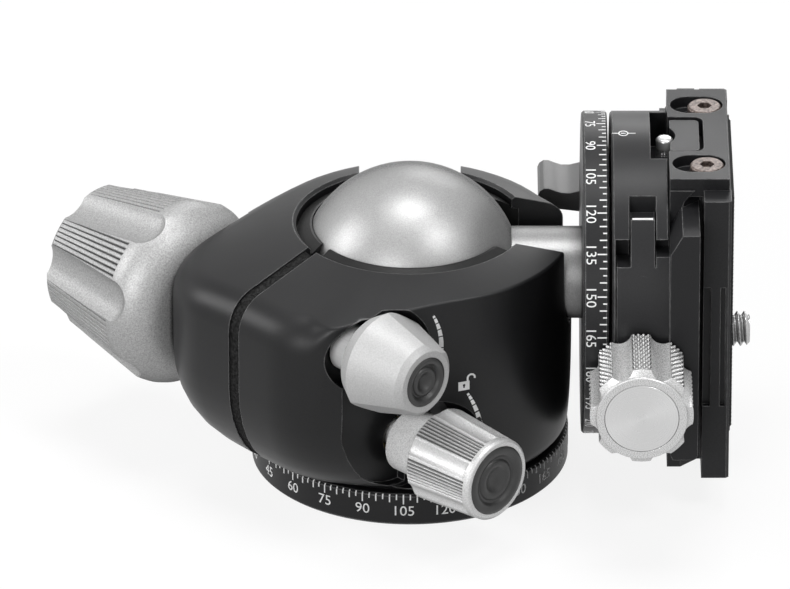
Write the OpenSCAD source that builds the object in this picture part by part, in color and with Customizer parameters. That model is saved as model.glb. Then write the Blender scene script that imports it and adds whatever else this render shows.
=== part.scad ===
// Tripod ball head: panning base, pinch housing, ball on a stem, panning clamp and camera plate.
// The base stands on z = 0 about the Z axis, and the ball's stem lies level along +X in its drop notch.

/* [Base] */
// Radius of the base disc that carries the degree scale
base_r = 28.6; // [28:0.1:29.2]
// Height of the base disc
base_h = 6.2; // [5.4:0.1:6.4]
// Bevel on the two rims of the base disc
base_bevel = 0.4; // [0.2:0.1:0.8]
// Radius of the tapped hole for the tripod screw, at its tapping size
tripod_hole_r = 3.97; // [3:0.01:4.5]
// Depth of the tapped hole
tripod_hole_depth = 10; // [8:0.5:11]
// Radius of the steel bush round the tapped hole
bush_r = 6.2; // [5.8:0.1:6.6]
// Radius of the brake drum
drum_r = 18; // [17.5:0.1:18.4]
// Radius of the neck under the brake drum
neck_r = 14.5; // [14:0.1:15]
// Number of screws that join the base disc and the drum
base_screw_count = 4; // [3:1:6]
// Radius of the thread of those screws
base_screw_r = 1.5; // [1.2:0.1:1.7]

/* [Ball] */
// Radius of the ball
ball_r = 20; // [19.6:0.05:20.1]
// Height of the ball's centre
ball_z = 36.4; // [36.2:0.1:36.8]
// Radius of the stem
stem_r = 8.3; // [7.6:0.1:8.5]
// Running gap between the ball and its two seats
ball_gap = 0.2; // [0.1:0.01:0.3]

/* [Housing] */
// Outer radius of the housing round the ball
housing_r = 29.1; // [28.7:0.1:29.3]
// Outer radius of the housing at its foot
foot_r = 28.3; // [27.8:0.1:28.6]
// Height of the housing's top at the ball's opening
opening_z = 47; // [46.8:0.1:47.6]
// Radius of the opening over the ball
opening_r = 20.5; // [20.3:0.1:20.8]
// Radius of the bore that holds the two ball seats
bore_r = 21.6; // [21.5:0.05:21.8]
// Fall of the top face for each millimetre outward
top_slope = 0.22; // [0.1:0.01:0.26]
// Distance from the axis to the side of the pinch ear
ear_reach = 40.4; // [39:0.1:42]
// Corner radius of the ear on the side of the large knob
lobe_corner_r = 16; // [14:0.5:17]
// Corner radius of the ear on the side of the small knobs
front_corner_r = 14; // [12:0.5:15]
// Distance from the axis to the ear's face under the small knobs
ear_front = 18; // [17.5:0.1:19]
// Height at which the ear's wall starts to curve in towards the foot
curve_z = 26; // [22:0.5:28]
// Radius of the rounded top edge
round_big = 6.5; // [4:0.5:7.5]
// Radius of the crisp top edge over the small knobs
round_small = 0.6; // [0.4:0.1:1]
// Half width of the two notches that the stem drops into
notch_r = 9.2; // [8.9:0.1:9.6]
// Distance of the pinch slit from the axis
slit_l = 4.1; // [3.8:0.1:4.6]
// Width of the pinch slit
slit_w = 2.5; // [2.2:0.1:2.8]
// Turn of all three knob axes about Z, towards the viewer's right
knob_turn = 45; // [42:1:48]

/* [Large knob] */
// Place of the large knob's axis along the ear, from the ball's axis
main_q = -25.5; // [-26:0.1:-25.3]
// Height of the large knob's axis
main_z = 29.7; // [29:0.1:29.8]
// Largest radius of the large knob
main_knob_r = 17.3; // [16.5:0.1:18]
// Radius of the large knob at its outer end
main_end_r = 13.4; // [12.8:0.1:14]
// Length of the large knob
main_knob_h = 28.9; // [27:0.1:30]
// Number of finger flutes
main_flutes = 7; // [6:1:8]
// Radius of the cutter that makes a flute
main_flute_r = 5; // [4.4:0.1:5.4]
// Number of fine grooves on each land between flutes
main_land_grooves = 7; // [5:1:8]
// Radius of the pinch bolt
bolt_r = 3; // [2.6:0.1:3.1]

/* [Friction knob] */
// Place of the friction knob's axis along the ear
friction_q = -28.5; // [-28.8:0.1:-28.2]
// Height of the friction knob's axis
friction_z = 36.7; // [36.5:0.1:37.2]
// Largest radius of the friction knob, at its corners
friction_knob_r = 9.7; // [9.2:0.1:10.2]
// Radius of the friction knob's front rim
friction_rim_r = 6.9; // [6.6:0.1:7.3]
// Length of the friction knob
friction_knob_h = 13.8; // [13:0.1:15]
// Number of flats round the friction knob
friction_flats = 2; // [2:1:4]
// Radius of the black insert in its front
friction_insert_r = 4.6; // [4.2:0.1:5]

/* [Pan lock knob] */
// Place of the pan lock knob's axis along the ear
lock_q = -18.5; // [-18.7:0.1:-18.4]
// Height of the pan lock knob's axis
lock_z = 16.2; // [15.9:0.1:16.4]
// Radius of the pan lock knob at its root
lock_knob_r = 8.6; // [8:0.1:8.8]
// Radius of the pan lock knob at its front
lock_rim_r = 7.6; // [7.2:0.1:8]
// Length of the pan lock knob
lock_knob_h = 14.5; // [13.5:0.1:16]
// Number of ribbed lands round the pan lock knob
lock_lands = 6; // [5:1:7]
// Number of fine grooves on each ribbed land
lock_land_grooves = 7; // [5:1:8]
// Radius of the black insert in its front
lock_insert_r = 6.4; // [6:0.1:6.6]

/* [Panning clamp] */
// Radius of the scale ring and of the round clamp body
clamp_r = 29; // [28.5:0.1:29.5]
// Distance from the ball's centre to the scale ring
ring_x = 30.8; // [30.5:0.1:31.2]
// Thickness of the scale ring
ring_w = 4.5; // [4:0.1:4.8]
// Gap between the scale ring and the turning clamp body
ring_gap = 0.6; // [0.4:0.1:0.8]
// Thickness of the clamp's round body
clamp_t = 10.2; // [9.8:0.1:10.6]
// Length of the fixed jaw
jaw_len = 48; // [44:0.5:48]
// Distance from the clamp's axis to the fixed jaw's back
fixed_jaw_y = 25.8; // [24:0.1:27]
// Length of the moving jaw's lip
moving_jaw_len = 45; // [43:0.5:46]
// Distance from the clamp's axis to the moving jaw's front
moving_jaw_y = 29.8; // [29.5:0.1:30.5]
// Height of the clamp knob's axis
clamp_knob_z = 30.5; // [30:0.1:31]
// Radius of the clamp knob over its lands
clamp_knob_r = 9.2; // [8.8:0.1:9.4]
// Number of lands round the clamp knob
clamp_knob_lands = 8; // [6:1:9]
// Length of the clamp knob
clamp_knob_h = 14.9; // [14:0.1:16]

/* [Pan lever] */
// Distance from the ball's centre to the tip of the lever
lever_tip_x = 23.3; // [23:0.1:24.5]
// Width of the lever
lever_w = 11.5; // [10:0.1:12]

/* [Camera plate] */
// Length of the camera plate
plate_len = 55.6; // [54:0.2:57]
// Height of the camera plate's lower end
plate_z0 = 6.4; // [6.2:0.1:7]
// Width of the camera plate's slab
plate_w = 45; // [43:0.5:46]
// Thickness of the camera plate with its dovetail
plate_t = 11; // [10.6:0.1:11.4]
// Thickness of the slab above the dovetail
slab_t = 4.9; // [4.6:0.1:5.2]
// Width over the dovetail's two side lands
dovetail_w = 36.4; // [36:0.1:37]
// Radius of the camera screw's thread
camera_screw_r = 3.175; // [3:0.005:3.3]
// Free length of the camera screw above the plate
camera_screw_out = 4.1; // [3.5:0.1:5]
// Height of the camera screw at the foot of its slot
camera_screw_z = 24.9; // [24.6:0.1:25.4]
// Travel of the camera screw along its slot
camera_slot_travel = 18; // [12:1:18]

/* [Hidden] */
$fn = 72;
over = 1;
far = 60;
seat = 0.05;
free_gap = 0.3;
axis_tilt = 90;
third_turn = 120;

// Heights of the stack between the base disc and the ball
washer_t = 0.6;
washer_r = 21;
keeper_t = 2.2;
keeper_z0 = base_h + washer_t + seat;
drum_z0 = keeper_z0 + keeper_t + free_gap;
drum_top = 19.8;
drum_hollow_r = 13;
drum_hollow_z = 15.5;
drum_bevel = 0.6;
base_screw_ring_r = 10.6;
base_screw_head_r = 2.8;
base_screw_head_h = 2;
base_screw_top = 13.6;
bush_top = tripod_hole_depth + over;
spring_t = 0.5;
spring_inner_r = 15;
spring_outer_r = 20.6;
spring_z0 = drum_top + 0.12;
spring_rise = 1;
seat_z0 = spring_z0 + spring_rise + spring_t + seat;
seat_top = 25.6;
seat_hole_r = 14;
cup_z0 = seat_top + free_gap;
cup_top = 46.3;
cup_shoulder_z = 45.2;
lip_z = 44.5;
cup_top_r = opening_r - free_gap;
housing_z0 = base_h + 0.4;
foot_z = housing_z0 + 1.2;
foot_bevel = 1;
opening_bevel = 0.7;

// Outline of the housing in the knob frame: circles as [along the knobs, along the ear, radius]
corners = [
    [0, 0, housing_r],
    [-(housing_r - lobe_corner_r), -(ear_reach - lobe_corner_r), lobe_corner_r],
    [ear_front - front_corner_r, -(ear_reach - front_corner_r), front_corner_r]];
outline_step = 6;
wall_steps = 6;
curve_steps = 8;
round_steps = 6;
crisp_from = -32;
crisp_to = 52;
crisp_fade = 26;

// Recess and bores for the three knob screws
recess_floor = 15.8;
recess_r = 14.2;
recess_q = -19;
recess_z = 21.9;
friction_pocket_r = 7.3;
friction_floor = 12.3;
friction_root = 18.6;
friction_sweep_gap = 0.6;
friction_sweep_r = friction_knob_r + friction_sweep_gap;
friction_sweep_floor = friction_root - free_gap;
friction_collar_r = 4.3;
friction_screw_r = 2.5;
lock_floor = 17.6;
lock_pocket_r = lock_knob_r + 0.7;
lock_root = 25.8;
lock_collar_r = 5.9;
lock_collar_l = 18.2;
lock_screw_r = 2.5;
cotter_r = 4;
cotter_l0 = 0.5;
cotter_l1 = 13;
cotter_gap = 0.15;
cotter_thread_depth = 4;
bolt_gap = 0.3;
insert_r = 3.6;
insert_l0 = -(slit_l - slit_w / 2);
insert_l1 = 8;
ear_back = 25.8;
main_pocket_gap = 0.7;
main_seat_l = -(ear_back + free_gap);

// Large knob
main_root_r = 8;
main_shoulder_h = 7.4;
main_taper = atan((main_knob_r - main_end_r) / (main_knob_h - main_shoulder_h));
main_flute_depth = 2.1;
main_rim_round = 1;
main_cap_r = 8;
main_cap_t = 1.6;
groove_depth = 0.35;
groove_w = 0.55;
main_groove_end = 1.4;

// Small knobs
insert_t = 2.4;
insert_dish_r = 0.55;
insert_dish_depth = 0.5;
insert_proud = 0.25;
friction_flat_share = 0.887;
friction_flat_turn = 147;
lock_flute_r = 3.2;
lock_flute_depth = 0.55;
lock_rim_h = 1.1;

// Panning clamp
hub_r = 22.5;
brake_hub_r = 15;
brake_hub_h = 5;
clamp_x0 = ring_x + ring_w + ring_gap;
bed_x = clamp_x0 + clamp_t;
clamp_middle_x = (clamp_x0 + bed_x) / 2;
ring_bevel = 0.35;
hub_bore_gap = 0.1;
lip_top_x = bed_x + 5.3;
dovetail_land = 2.4;
dovetail_neck = 3;
dovetail_gap = 0.12;
jaw_split_y = -20;
jaw_gap = 0.4;
jaw_low_top = 50.4;
jaw_low_bottom = 2 * ball_z - jaw_low_top;
jaw_low_x0 = clamp_x0 + 0.8;
jaw_cut_top = 54.5;
tongue_x0 = clamp_x0 + 3.3;
tongue_x1 = bed_x - 2.6;
tongue_top = 57.2;
tongue_t = 3.4;
window_top = 61.5;
window_gap = 0.25;
lip_head_w = 2.2;
lip_head_h = 4;
lip_foot_w = 0.8;
lip_foot_h = 1.8;
jaw_right_x = bed_x - 2.4;
jaw_right_top = 52;
top_pocket_x = bed_x - 3.2;
top_pocket_w = 18.4;
top_pocket_z = 57;
stop_r = 1.55;
stop_x = bed_x - 0.6;
stop_z0 = 50;
stop_top = 63.6;
stop_groove_r = 4.8;
stop_groove_depth = 1.3;
guide_r = 1.5;
guide_z_offset = 11;
guide_x = clamp_middle_x + 0.4;
guide_y0 = -26;
guide_y1 = -12.5;
knob_x = clamp_middle_x;
knob_washer_r = 5.2;
knob_washer_y0 = -30.1;
knob_washer_y1 = -27;
knob_root_y = -30.3;
clamp_flute_r = 2.3;
clamp_flute_depth = 1.2;
clamp_flange_r = 8.1;
clamp_flange_h = 0.5;
clamp_nose_h = 1;
clamp_disc_r = 6.55;
clamp_disc_t = 0.8;
clamp_rod_r = 2.5;
clamp_rod_end = 15;
jaw_travel = 3;

// Pan lever
lever_pivot_x = clamp_middle_x + 0.3;
lever_y0 = clamp_r + 0.6;
lever_hub_r = 4.6;
lever_screw_r = 1.8;
lever_head_r = 3.2;
lever_head_h = 1.6;
lever_screw_in = 6;

// Camera plate
plate_x0 = bed_x + seat;
slab_x0 = plate_x0 + plate_t - slab_t;
plate_x1 = plate_x0 + plate_t;
plate_z1 = plate_z0 + plate_len;
plate_bevel = 1;
pad_t = 0.6;
pad_w = 32;
pad_z0 = 12.6;
pad_z1 = 60;
block_z0 = 60.6;
block_z1 = 64.2;
block_w = 35.6;
block_t = 10.7;
boss_w = 12.2;
boss_x1 = bed_x + 5.6;
boss_z1 = 63.9;
boss_gap = 0.7;
block_slot_r = 3.3;
block_slot_x = bed_x + 3.9;
block_screw_x = bed_x + 6.8;
block_screw_y = 11.65;
block_screw_r = 1.5;
block_head_r = 3.05;
block_head_h = 2;
block_slot_depth = 2.2;
block_screw_depth = 8;
block_hex_r = 1.3;
groove_z0 = 21;
groove_z1 = 44.8;
side_groove_t = 0.9;
head_pocket_r = 7.4;
head_pocket_x = plate_x0 + 4.2;
screw_head_r = 7;
screw_head_t = 2.6;
slot_r = 4.1;
collar_r = 3.9;
collar_t = 2.4;
shank_r = 2.4;
runout_r = 4;
runout_z = 59.1;
boss_round = 1;
coin_slot_w = 1.6;
coin_slot_depth = 1.2;
thread_x0 = plate_x1 + pad_t + seat;

// Frames

// Knob frame: X along the small knobs, Y along the ear, Z up
module knob_frame() {
    rotate([0, 0, -knob_turn]) children();
}

// Places a part made along +Z so that it points along the small knobs
module along_knobs(l, q, z) {
    knob_frame() translate([l, q, z]) rotate([0, axis_tilt, 0]) children();
}

// Places a part made along +Z so that it points away from the small knobs
module against_knobs(l, q, z) {
    knob_frame() translate([l, q, z]) rotate([0, -axis_tilt, 0]) children();
}

// Clamp frame: a part made along +Z points along +X from the ball's centre
module along_stem(x) {
    translate([x, 0, ball_z]) rotate([0, axis_tilt, 0]) children();
}

// A box between two corners
module box(from, to) {
    translate(from) cube(to - from);
}

// A ring or disc turned from a profile of [radius, height] points
module turned(profile) {
    rotate_extrude() polygon(profile);
}

// A plain disc with both rims bevelled
module bevelled_disc(r, h, bevel) {
    turned([[0, 0], [r - bevel, 0], [r, bevel], [r, h - bevel], [r - bevel, h], [0, h]]);
}

// Copies round the Z axis
module around(count) {
    for (k = [0 : count - 1]) rotate([0, 0, k * 360 / count]) children();
}

// Base

module base_screw_places() {
    around(base_screw_count) translate([base_screw_ring_r, 0, 0]) children();
}

module base_disc() {
    color("#1c1c1e") difference() {
        bevelled_disc(base_r, base_h, base_bevel);
        translate([0, 0, -over]) cylinder(r = bush_r + seat, h = base_h + 2 * over);
        base_screw_places() {
            translate([0, 0, -over]) cylinder(r = base_screw_head_r + free_gap, h = base_screw_head_h + over);
            cylinder(r = base_screw_r + seat, h = base_h + over);
        }
    }
}

module tripod_bush() {
    color("#9a9a9c") difference() {
        bevelled_disc(bush_r, bush_top, base_bevel);
        translate([0, 0, -over]) cylinder(r = tripod_hole_r, h = over + tripod_hole_depth);
    }
}

module brake_drum() {
    color("#58585a") difference() {
        turned([[0, base_h], [neck_r, base_h], [neck_r, drum_z0], [drum_r - drum_bevel, drum_z0],
            [drum_r, drum_z0 + drum_bevel], [drum_r, drum_top - drum_bevel],
            [drum_r - drum_bevel, drum_top], [drum_hollow_r, drum_top],
            [drum_hollow_r, drum_hollow_z], [0, drum_hollow_z]]);
        cylinder(r = bush_r + seat, h = bush_top + seat);
        base_screw_places() cylinder(r = base_screw_r + seat, h = base_screw_top + seat);
    }
}

module base_screws() {
    color("#8e8e90") base_screw_places() {
        translate([0, 0, free_gap]) bevelled_disc(base_screw_head_r, base_screw_head_h - free_gap, free_gap);
        translate([0, 0, base_screw_head_h]) cylinder(r = base_screw_r, h = base_screw_top - base_screw_head_h);
    }
}

module base_washer() {
    color("#e6e3da") difference() {
        translate([0, 0, base_h]) cylinder(r = washer_r, h = washer_t);
        cylinder(r = neck_r + free_gap, h = drum_z0);
    }
}

// Housing

// Angle of the wall that is tangent to two of the corner circles, in the order of rising angles
function tangent_angle(from, to) = let (d = [from[0] - to[0], from[1] - to[1]])
    atan2(d[1], d[0]) + acos((to[2] - from[2]) / norm(d));

// Circles that the wall follows, as [x, y, radius, angle that the wall faces]: round each corner, then
// along the straight wall to the next one
function arc_samples(c, a0, a1) = let (n = ceil((a1 - a0) / outline_step))
    [for (k = [0 : n]) [c[0], c[1], c[2], a0 + (a1 - a0) * k / n]];
function wall_samples(c, d, a) = [for (k = [1 : wall_steps - 1]) let (t = k / wall_steps)
    [c[0] + (d[0] - c[0]) * t, c[1] + (d[1] - c[1]) * t, c[2] + (d[2] - c[2]) * t, a]];
back_angle = (tangent_angle(corners[0], corners[1]) + 360) % 360;
front_angle = (tangent_angle(corners[1], corners[2]) + 360) % 360;
side_angle = tangent_angle(corners[2], corners[0]);
samples = concat(
    arc_samples(corners[0], side_angle, back_angle),
    wall_samples(corners[0], corners[1], back_angle),
    arc_samples(corners[1], back_angle, front_angle),
    wall_samples(corners[1], corners[2], front_angle),
    arc_samples(corners[2], front_angle, side_angle + 360),
    wall_samples(corners[2], corners[0], side_angle + 360));

// Point of the housing's outline at a sample, drawn in by an inset
function wall_point(s, inset) =
    [s[0] + (s[2] - inset) * cos(s[3]), s[1] + (s[2] - inset) * sin(s[3])];

// The same point, blended towards the round foot
function low_point(s, blend) = let (p = wall_point(s, 0))
    (1 - blend) * p + blend * foot_r * p / norm(p);

function smooth(t) = let (u = max(0, min(1, t))) u * u * (3 - 2 * u);
function away_from_crisp(a) = a > crisp_to ? min(a - crisp_to, crisp_from + 360 - a) :
    a < crisp_from ? min(crisp_from - a, a + 360 - crisp_to) : 0;
function edge_round(a) =
    round_small + (round_big - round_small) * smooth(max(0, away_from_crisp(a)) / crisp_fade);
function top_height(p) = opening_z - top_slope * (norm(p) - opening_r);

top_angle = 90 - atan(top_slope);
function round_point(s, t) = let (
    f = edge_round(s[3]),
    rim = wall_point(s, f * (1 - cos(top_angle))),
    p = wall_point(s, f * (1 - cos(t * top_angle))))
    [p[0], p[1], top_height(rim) - f * (sin(top_angle) - sin(t * top_angle))];

// Level ring of a radius, each of its points on the line from the middle to the wall's point
function flat_ring(r, z) = [for (s = samples) let (p = wall_point(s, 0)) concat(r * p / norm(p), [z])];
function curve_ring(e) = [for (s = samples) let (p = low_point(s, 1 - sin(e)))
    [p[0], p[1], curve_z - (curve_z - foot_z) * cos(e)]];
function round_ring(t) = [for (s = samples) round_point(s, t)];

// A closed skin over rings of equal length, bottom ring first
module ring_skin(rings) {
    n = len(rings[0]);
    last = len(rings) - 1;
    polyhedron(
        points = [for (ring = rings) for (p = ring) p],
        faces = concat(
            [[for (k = [0 : n - 1]) k]],
            [[for (k = [n - 1 : -1 : 0]) last * n + k]],
            [for (j = [0 : last - 1]) for (k = [0 : n - 1]) let (m = (k + 1) % n)
                [j * n + k, (j + 1) * n + k, (j + 1) * n + m]],
            [for (j = [0 : last - 1]) for (k = [0 : n - 1]) let (m = (k + 1) % n)
                [j * n + k, (j + 1) * n + m, j * n + m]]));
}

module housing_form() {
    ring_skin(concat(
        [flat_ring(foot_r - foot_bevel, housing_z0)],
        [for (k = [0 : curve_steps]) curve_ring(90 * k / curve_steps)],
        [for (k = [0 : round_steps]) round_ring(k / round_steps)],
        [flat_ring(opening_r, opening_z)]));
}

// Space that the stem drops into, pointing along +X
module notch_cut() {
    translate([opening_r / 2, 0, ball_z]) rotate([0, axis_tilt, 0]) cylinder(r = notch_r, h = housing_r);
    box([opening_r / 2, -notch_r, ball_z], [opening_r / 2 + housing_r, notch_r, far]);
}

module both_notches() {
    notch_cut();
    rotate([0, 0, 90]) notch_cut();
}

// Outline of the shallow recess round the small knobs, as [along the ear, height]
module recess_shape() {
    intersection() {
        translate([recess_q, recess_z]) circle(r = recess_r);
        translate([recess_q - recess_r, 0]) square([recess_r, far]);
    }
    translate([recess_q - recess_r, recess_z])
        square([recess_r, friction_z - recess_z]);
    translate([friction_q, friction_z]) circle(r = friction_pocket_r);
}

module housing_cuts() {
    turned([[0, housing_z0 - over], [bore_r, housing_z0 - over], [bore_r, lip_z], [opening_r, lip_z],
        [opening_r, opening_z - opening_bevel], [opening_r + opening_bevel, opening_z],
        [opening_r + opening_bevel, opening_z + over], [0, opening_z + over]]);
    both_notches();
    knob_frame() {
        box([-slit_l - slit_w / 2, -ear_reach - over, 0], [-slit_l + slit_w / 2, -bore_r / 2, far]);
        translate([recess_floor, 0, 0]) rotate([axis_tilt, 0, axis_tilt])
            linear_extrude(ear_reach) recess_shape();
    }
    against_knobs(-ear_back, main_q, main_z) cylinder(r = main_knob_r + main_pocket_gap, h = far);
    along_knobs(-far, main_q, main_z) cylinder(r = bolt_r + bolt_gap, h = far + insert_l1);
    along_knobs(insert_l0 - over, main_q, main_z) cylinder(r = insert_r + seat, h = insert_l1 + over - insert_l0);
    along_knobs(-slit_l, friction_q, friction_z)
        cylinder(r = friction_screw_r + bolt_gap, h = friction_floor + slit_l + over);
    along_knobs(friction_floor, friction_q, friction_z) cylinder(r = friction_pocket_r, h = far);
    along_knobs(friction_sweep_floor, friction_q, friction_z) {
        cylinder(r1 = friction_root_r + friction_sweep_gap, r2 = friction_sweep_r, h = friction_wide_z);
        translate([0, 0, friction_wide_z]) cylinder(r = friction_sweep_r, h = far);
    }
    along_knobs(0, lock_q, lock_z) cylinder(r = cotter_r + seat, h = far);
    along_knobs(lock_floor, lock_q, lock_z) cylinder(r = lock_pocket_r, h = far);
}

module housing() {
    color("#202022") difference() {
        knob_frame() housing_form();
        housing_cuts();
    }
}

module keeper_ring() {
    color("#707072") difference() {
        translate([0, 0, keeper_z0]) cylinder(r = bore_r - seat, h = keeper_t);
        cylinder(r = neck_r + free_gap, h = drum_z0);
    }
}

module ball_seat() {
    color("#b9a15c") difference() {
        translate([0, 0, seat_z0]) cylinder(r = bore_r - seat, h = seat_top - seat_z0);
        cylinder(r = seat_hole_r, h = seat_top);
        translate([0, 0, ball_z]) sphere(r = ball_r + ball_gap);
    }
}

module seat_spring() {
    color("#8b8f96") turned([[spring_inner_r, spring_z0], [spring_outer_r, spring_z0 + spring_rise],
        [spring_outer_r, spring_z0 + spring_rise + spring_t], [spring_inner_r, spring_z0 + spring_t]]);
}

module ball_cup() {
    color("#2b2b2d") difference() {
        turned([[0, cup_z0], [bore_r - seat, cup_z0], [bore_r - seat, lip_z - seat], [cup_top_r, lip_z - seat],
            [cup_top_r, cup_shoulder_z], [ball_r - 2, cup_top], [0, cup_top]]);
        translate([0, 0, ball_z]) sphere(r = ball_r + ball_gap);
        both_notches();
        knob_frame()
            box([-slit_l - slit_w / 2, -ear_reach, 0], [-slit_l + slit_w / 2, -bore_r / 2, far]);
    }
}

// Foam strip in the pinch slit, a little below the housing's skin
seal_inset = 0.35;
module slit_seal() {
    color("#101010") difference() {
        intersection() {
            knob_frame() ring_skin(concat(
                [flat_ring(foot_r - foot_bevel - seal_inset, housing_z0)],
                [for (k = [0 : curve_steps]) [for (p = curve_ring(90 * k / curve_steps))
                    [p[0], p[1] + seal_inset, p[2]]]],
                [for (k = [0 : round_steps]) [for (p = round_ring(k / round_steps))
                    [p[0], p[1] + seal_inset, p[2] - seal_inset]]],
                [flat_ring(opening_r, opening_z - seal_inset)]));
            knob_frame() box([-slit_l - slit_w / 2, -ear_reach, 0], [-slit_l + slit_w / 2, -bore_r / 2, far]);
        }
        cylinder(r = bore_r + free_gap, h = far);
        along_knobs(-far, main_q, main_z) cylinder(r = bolt_r + free_gap, h = far);
        along_knobs(-far, friction_q, friction_z) cylinder(r = friction_screw_r + free_gap, h = far);
    }
}

module pinch_insert() {
    color("#8b8f96") difference() {
        along_knobs(insert_l0 + seat, main_q, main_z) cylinder(r = insert_r, h = insert_l1 - insert_l0 - seat);
        along_knobs(insert_l0 - over, main_q, main_z) cylinder(r = bolt_r + seat, h = far);
    }
}

// Large knob, made along +Z from its seat on the housing to its outer end

module main_profile() {
    shoulder_steps = 9;
    polygon(concat(
        [[0, 0]],
        [for (k = [0 : shoulder_steps]) let (e = 90 * k / shoulder_steps)
            [main_root_r + (main_knob_r - main_root_r) * sin(e), main_shoulder_h * (1 - cos(e))]],
        [[main_end_r, main_knob_h - main_rim_round], [main_end_r - main_rim_round, main_knob_h],
         [0, main_knob_h]]));
}

// Carries its child, made along +Z, onto the tapered side of the large knob
module on_main_taper(depth) {
    translate([main_knob_r - depth, 0, main_shoulder_h]) rotate([0, -main_taper, 0]) children();
}

module main_flute() {
    on_main_taper(main_flute_depth) translate([main_flute_r, 0, 0]) {
        sphere(r = main_flute_r);
        cylinder(r = main_flute_r, h = main_knob_h);
    }
}

// A V groove along +Z whose mouth is at X = 0
module fine_groove(h) {
    linear_extrude(h) polygon([[-groove_depth, 0], [groove_depth, -groove_w], [groove_depth, groove_w]]);
}

module main_land_groove(turn) {
    rotate([0, 0, turn]) on_main_taper(0) translate([0, 0, main_groove_end]) fine_groove(main_knob_h);
}

main_land_turn = 3.6;
module large_knob_solid() {
    difference() {
        rotate_extrude() main_profile();
        around(main_flutes) main_flute();
        around(main_flutes) for (k = [0 : main_land_grooves - 1])
            main_land_groove(180 / main_flutes + (k - (main_land_grooves - 1) / 2) * main_land_turn);
        translate([0, 0, main_knob_h - main_cap_t]) cylinder(r = main_cap_r + seat, h = main_cap_t + over);
        translate([0, 0, -over]) cylinder(r = bolt_r + seat, h = main_knob_h);
    }
}

module large_knob() {
    color("#c4c4c6") against_knobs(main_seat_l, main_q, main_z) large_knob_solid();
}

module large_knob_cap() {
    color("#b4b4b6") against_knobs(main_seat_l, main_q, main_z)
        translate([0, 0, main_knob_h - main_cap_t]) bevelled_disc(main_cap_r, main_cap_t, free_gap);
}

module pinch_bolt() {
    color("#8b8f96") along_knobs(main_seat_l - main_knob_h / 2, main_q, main_z)
        cylinder(r = bolt_r, h = main_knob_h / 2 - main_seat_l + insert_l1 - over);
}

// Friction knob, made along +Z from its root to its front

friction_root_r = 7.9;
friction_wide_z = 3.4;
friction_rim_z = friction_knob_h - 1;
friction_bevel_r = friction_insert_r + 1.2;
module friction_knob() {
    flat_in = friction_knob_r * friction_flat_share;
    flat_lean = atan((friction_knob_r - friction_rim_r) * friction_flat_share
        / (friction_rim_z - friction_wide_z));
    color("#c8c8ca") along_knobs(friction_root, friction_q, friction_z) difference() {
        turned([[0, 0], [friction_root_r - base_bevel, 0], [friction_root_r, base_bevel],
            [friction_knob_r, friction_wide_z], [friction_rim_r, friction_rim_z],
            [friction_bevel_r, friction_knob_h], [0, friction_knob_h]]);
        for (k = [0 : friction_flats - 1]) rotate([0, 0, k * 360 / friction_flats + friction_flat_turn])
            translate([flat_in, 0, friction_wide_z]) rotate([0, -flat_lean, 0])
                translate([0, -far, -far]) cube([far, far + far, far + far]);
        translate([0, 0, friction_knob_h - insert_t]) cylinder(r = friction_insert_r + seat, h = insert_t + over);
        translate([0, 0, -over]) cylinder(r = friction_screw_r + seat, h = friction_knob_h - insert_t);
    }
}

// Soft insert with a dished middle, made along +Z
module soft_insert(r) {
    dish = r * insert_dish_r;
    turned([[0, 0], [r, 0], [r, insert_t - insert_proud], [r - insert_proud, insert_t],
        [dish, insert_t], [dish * insert_dish_r, insert_t - insert_dish_depth],
        [0, insert_t - insert_dish_depth]]);
}

module friction_knob_insert() {
    color("#161616") along_knobs(friction_root + friction_knob_h - insert_t, friction_q, friction_z)
        soft_insert(friction_insert_r);
}

module friction_screw() {
    color("#b2b2b4") {
        along_knobs(friction_floor + free_gap, friction_q, friction_z)
            cylinder(r = friction_collar_r, h = friction_root - friction_floor - free_gap);
        along_knobs(-slit_l, friction_q, friction_z)
            cylinder(r = friction_screw_r, h = slit_l + friction_root + friction_knob_h / 2);
    }
}

// Pan lock knob, made along +Z from its root to its front

lock_taper = atan((lock_knob_r - lock_rim_r) / lock_knob_h);
lock_land_turn = 4.6;
module lock_knob_solid() {
    difference() {
        turned([[0, 0], [lock_knob_r - base_bevel, 0], [lock_knob_r, base_bevel],
            [lock_rim_r, lock_knob_h - base_bevel], [lock_rim_r - base_bevel, lock_knob_h], [0, lock_knob_h]]);
        around(lock_lands) translate([lock_knob_r - lock_flute_depth + lock_flute_r, 0, 0])
            rotate([0, -lock_taper, 0]) translate([0, 0, -over])
                cylinder(r = lock_flute_r, h = lock_knob_h - lock_rim_h + over);
        around(lock_lands) for (k = [0 : lock_land_grooves - 1])
            rotate([0, 0, 180 / lock_lands + (k - (lock_land_grooves - 1) / 2) * lock_land_turn])
                translate([lock_knob_r, 0, 0]) rotate([0, -lock_taper, 0])
                    translate([0, 0, -over]) fine_groove(lock_knob_h - lock_rim_h + over);
        translate([0, 0, lock_knob_h - insert_t]) cylinder(r = lock_insert_r + seat, h = insert_t + over);
        translate([0, 0, -over]) cylinder(r = lock_screw_r + seat, h = lock_knob_h - insert_t);
    }
}

module lock_knob() {
    color("#c8c8ca") along_knobs(lock_root, lock_q, lock_z) lock_knob_solid();
}

module lock_knob_insert() {
    color("#161616") along_knobs(lock_root + lock_knob_h - insert_t, lock_q, lock_z)
        soft_insert(lock_insert_r);
}

module lock_screw() {
    color("#b2b2b4") {
        along_knobs(lock_collar_l, lock_q, lock_z)
            cylinder(r = lock_collar_r, h = lock_root - lock_collar_l);
        along_knobs(cotter_l1 - cotter_thread_depth, lock_q, lock_z)
            cylinder(r = lock_screw_r, h = lock_root - cotter_l1 + cotter_thread_depth + lock_knob_h / 2);
    }
}

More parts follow.
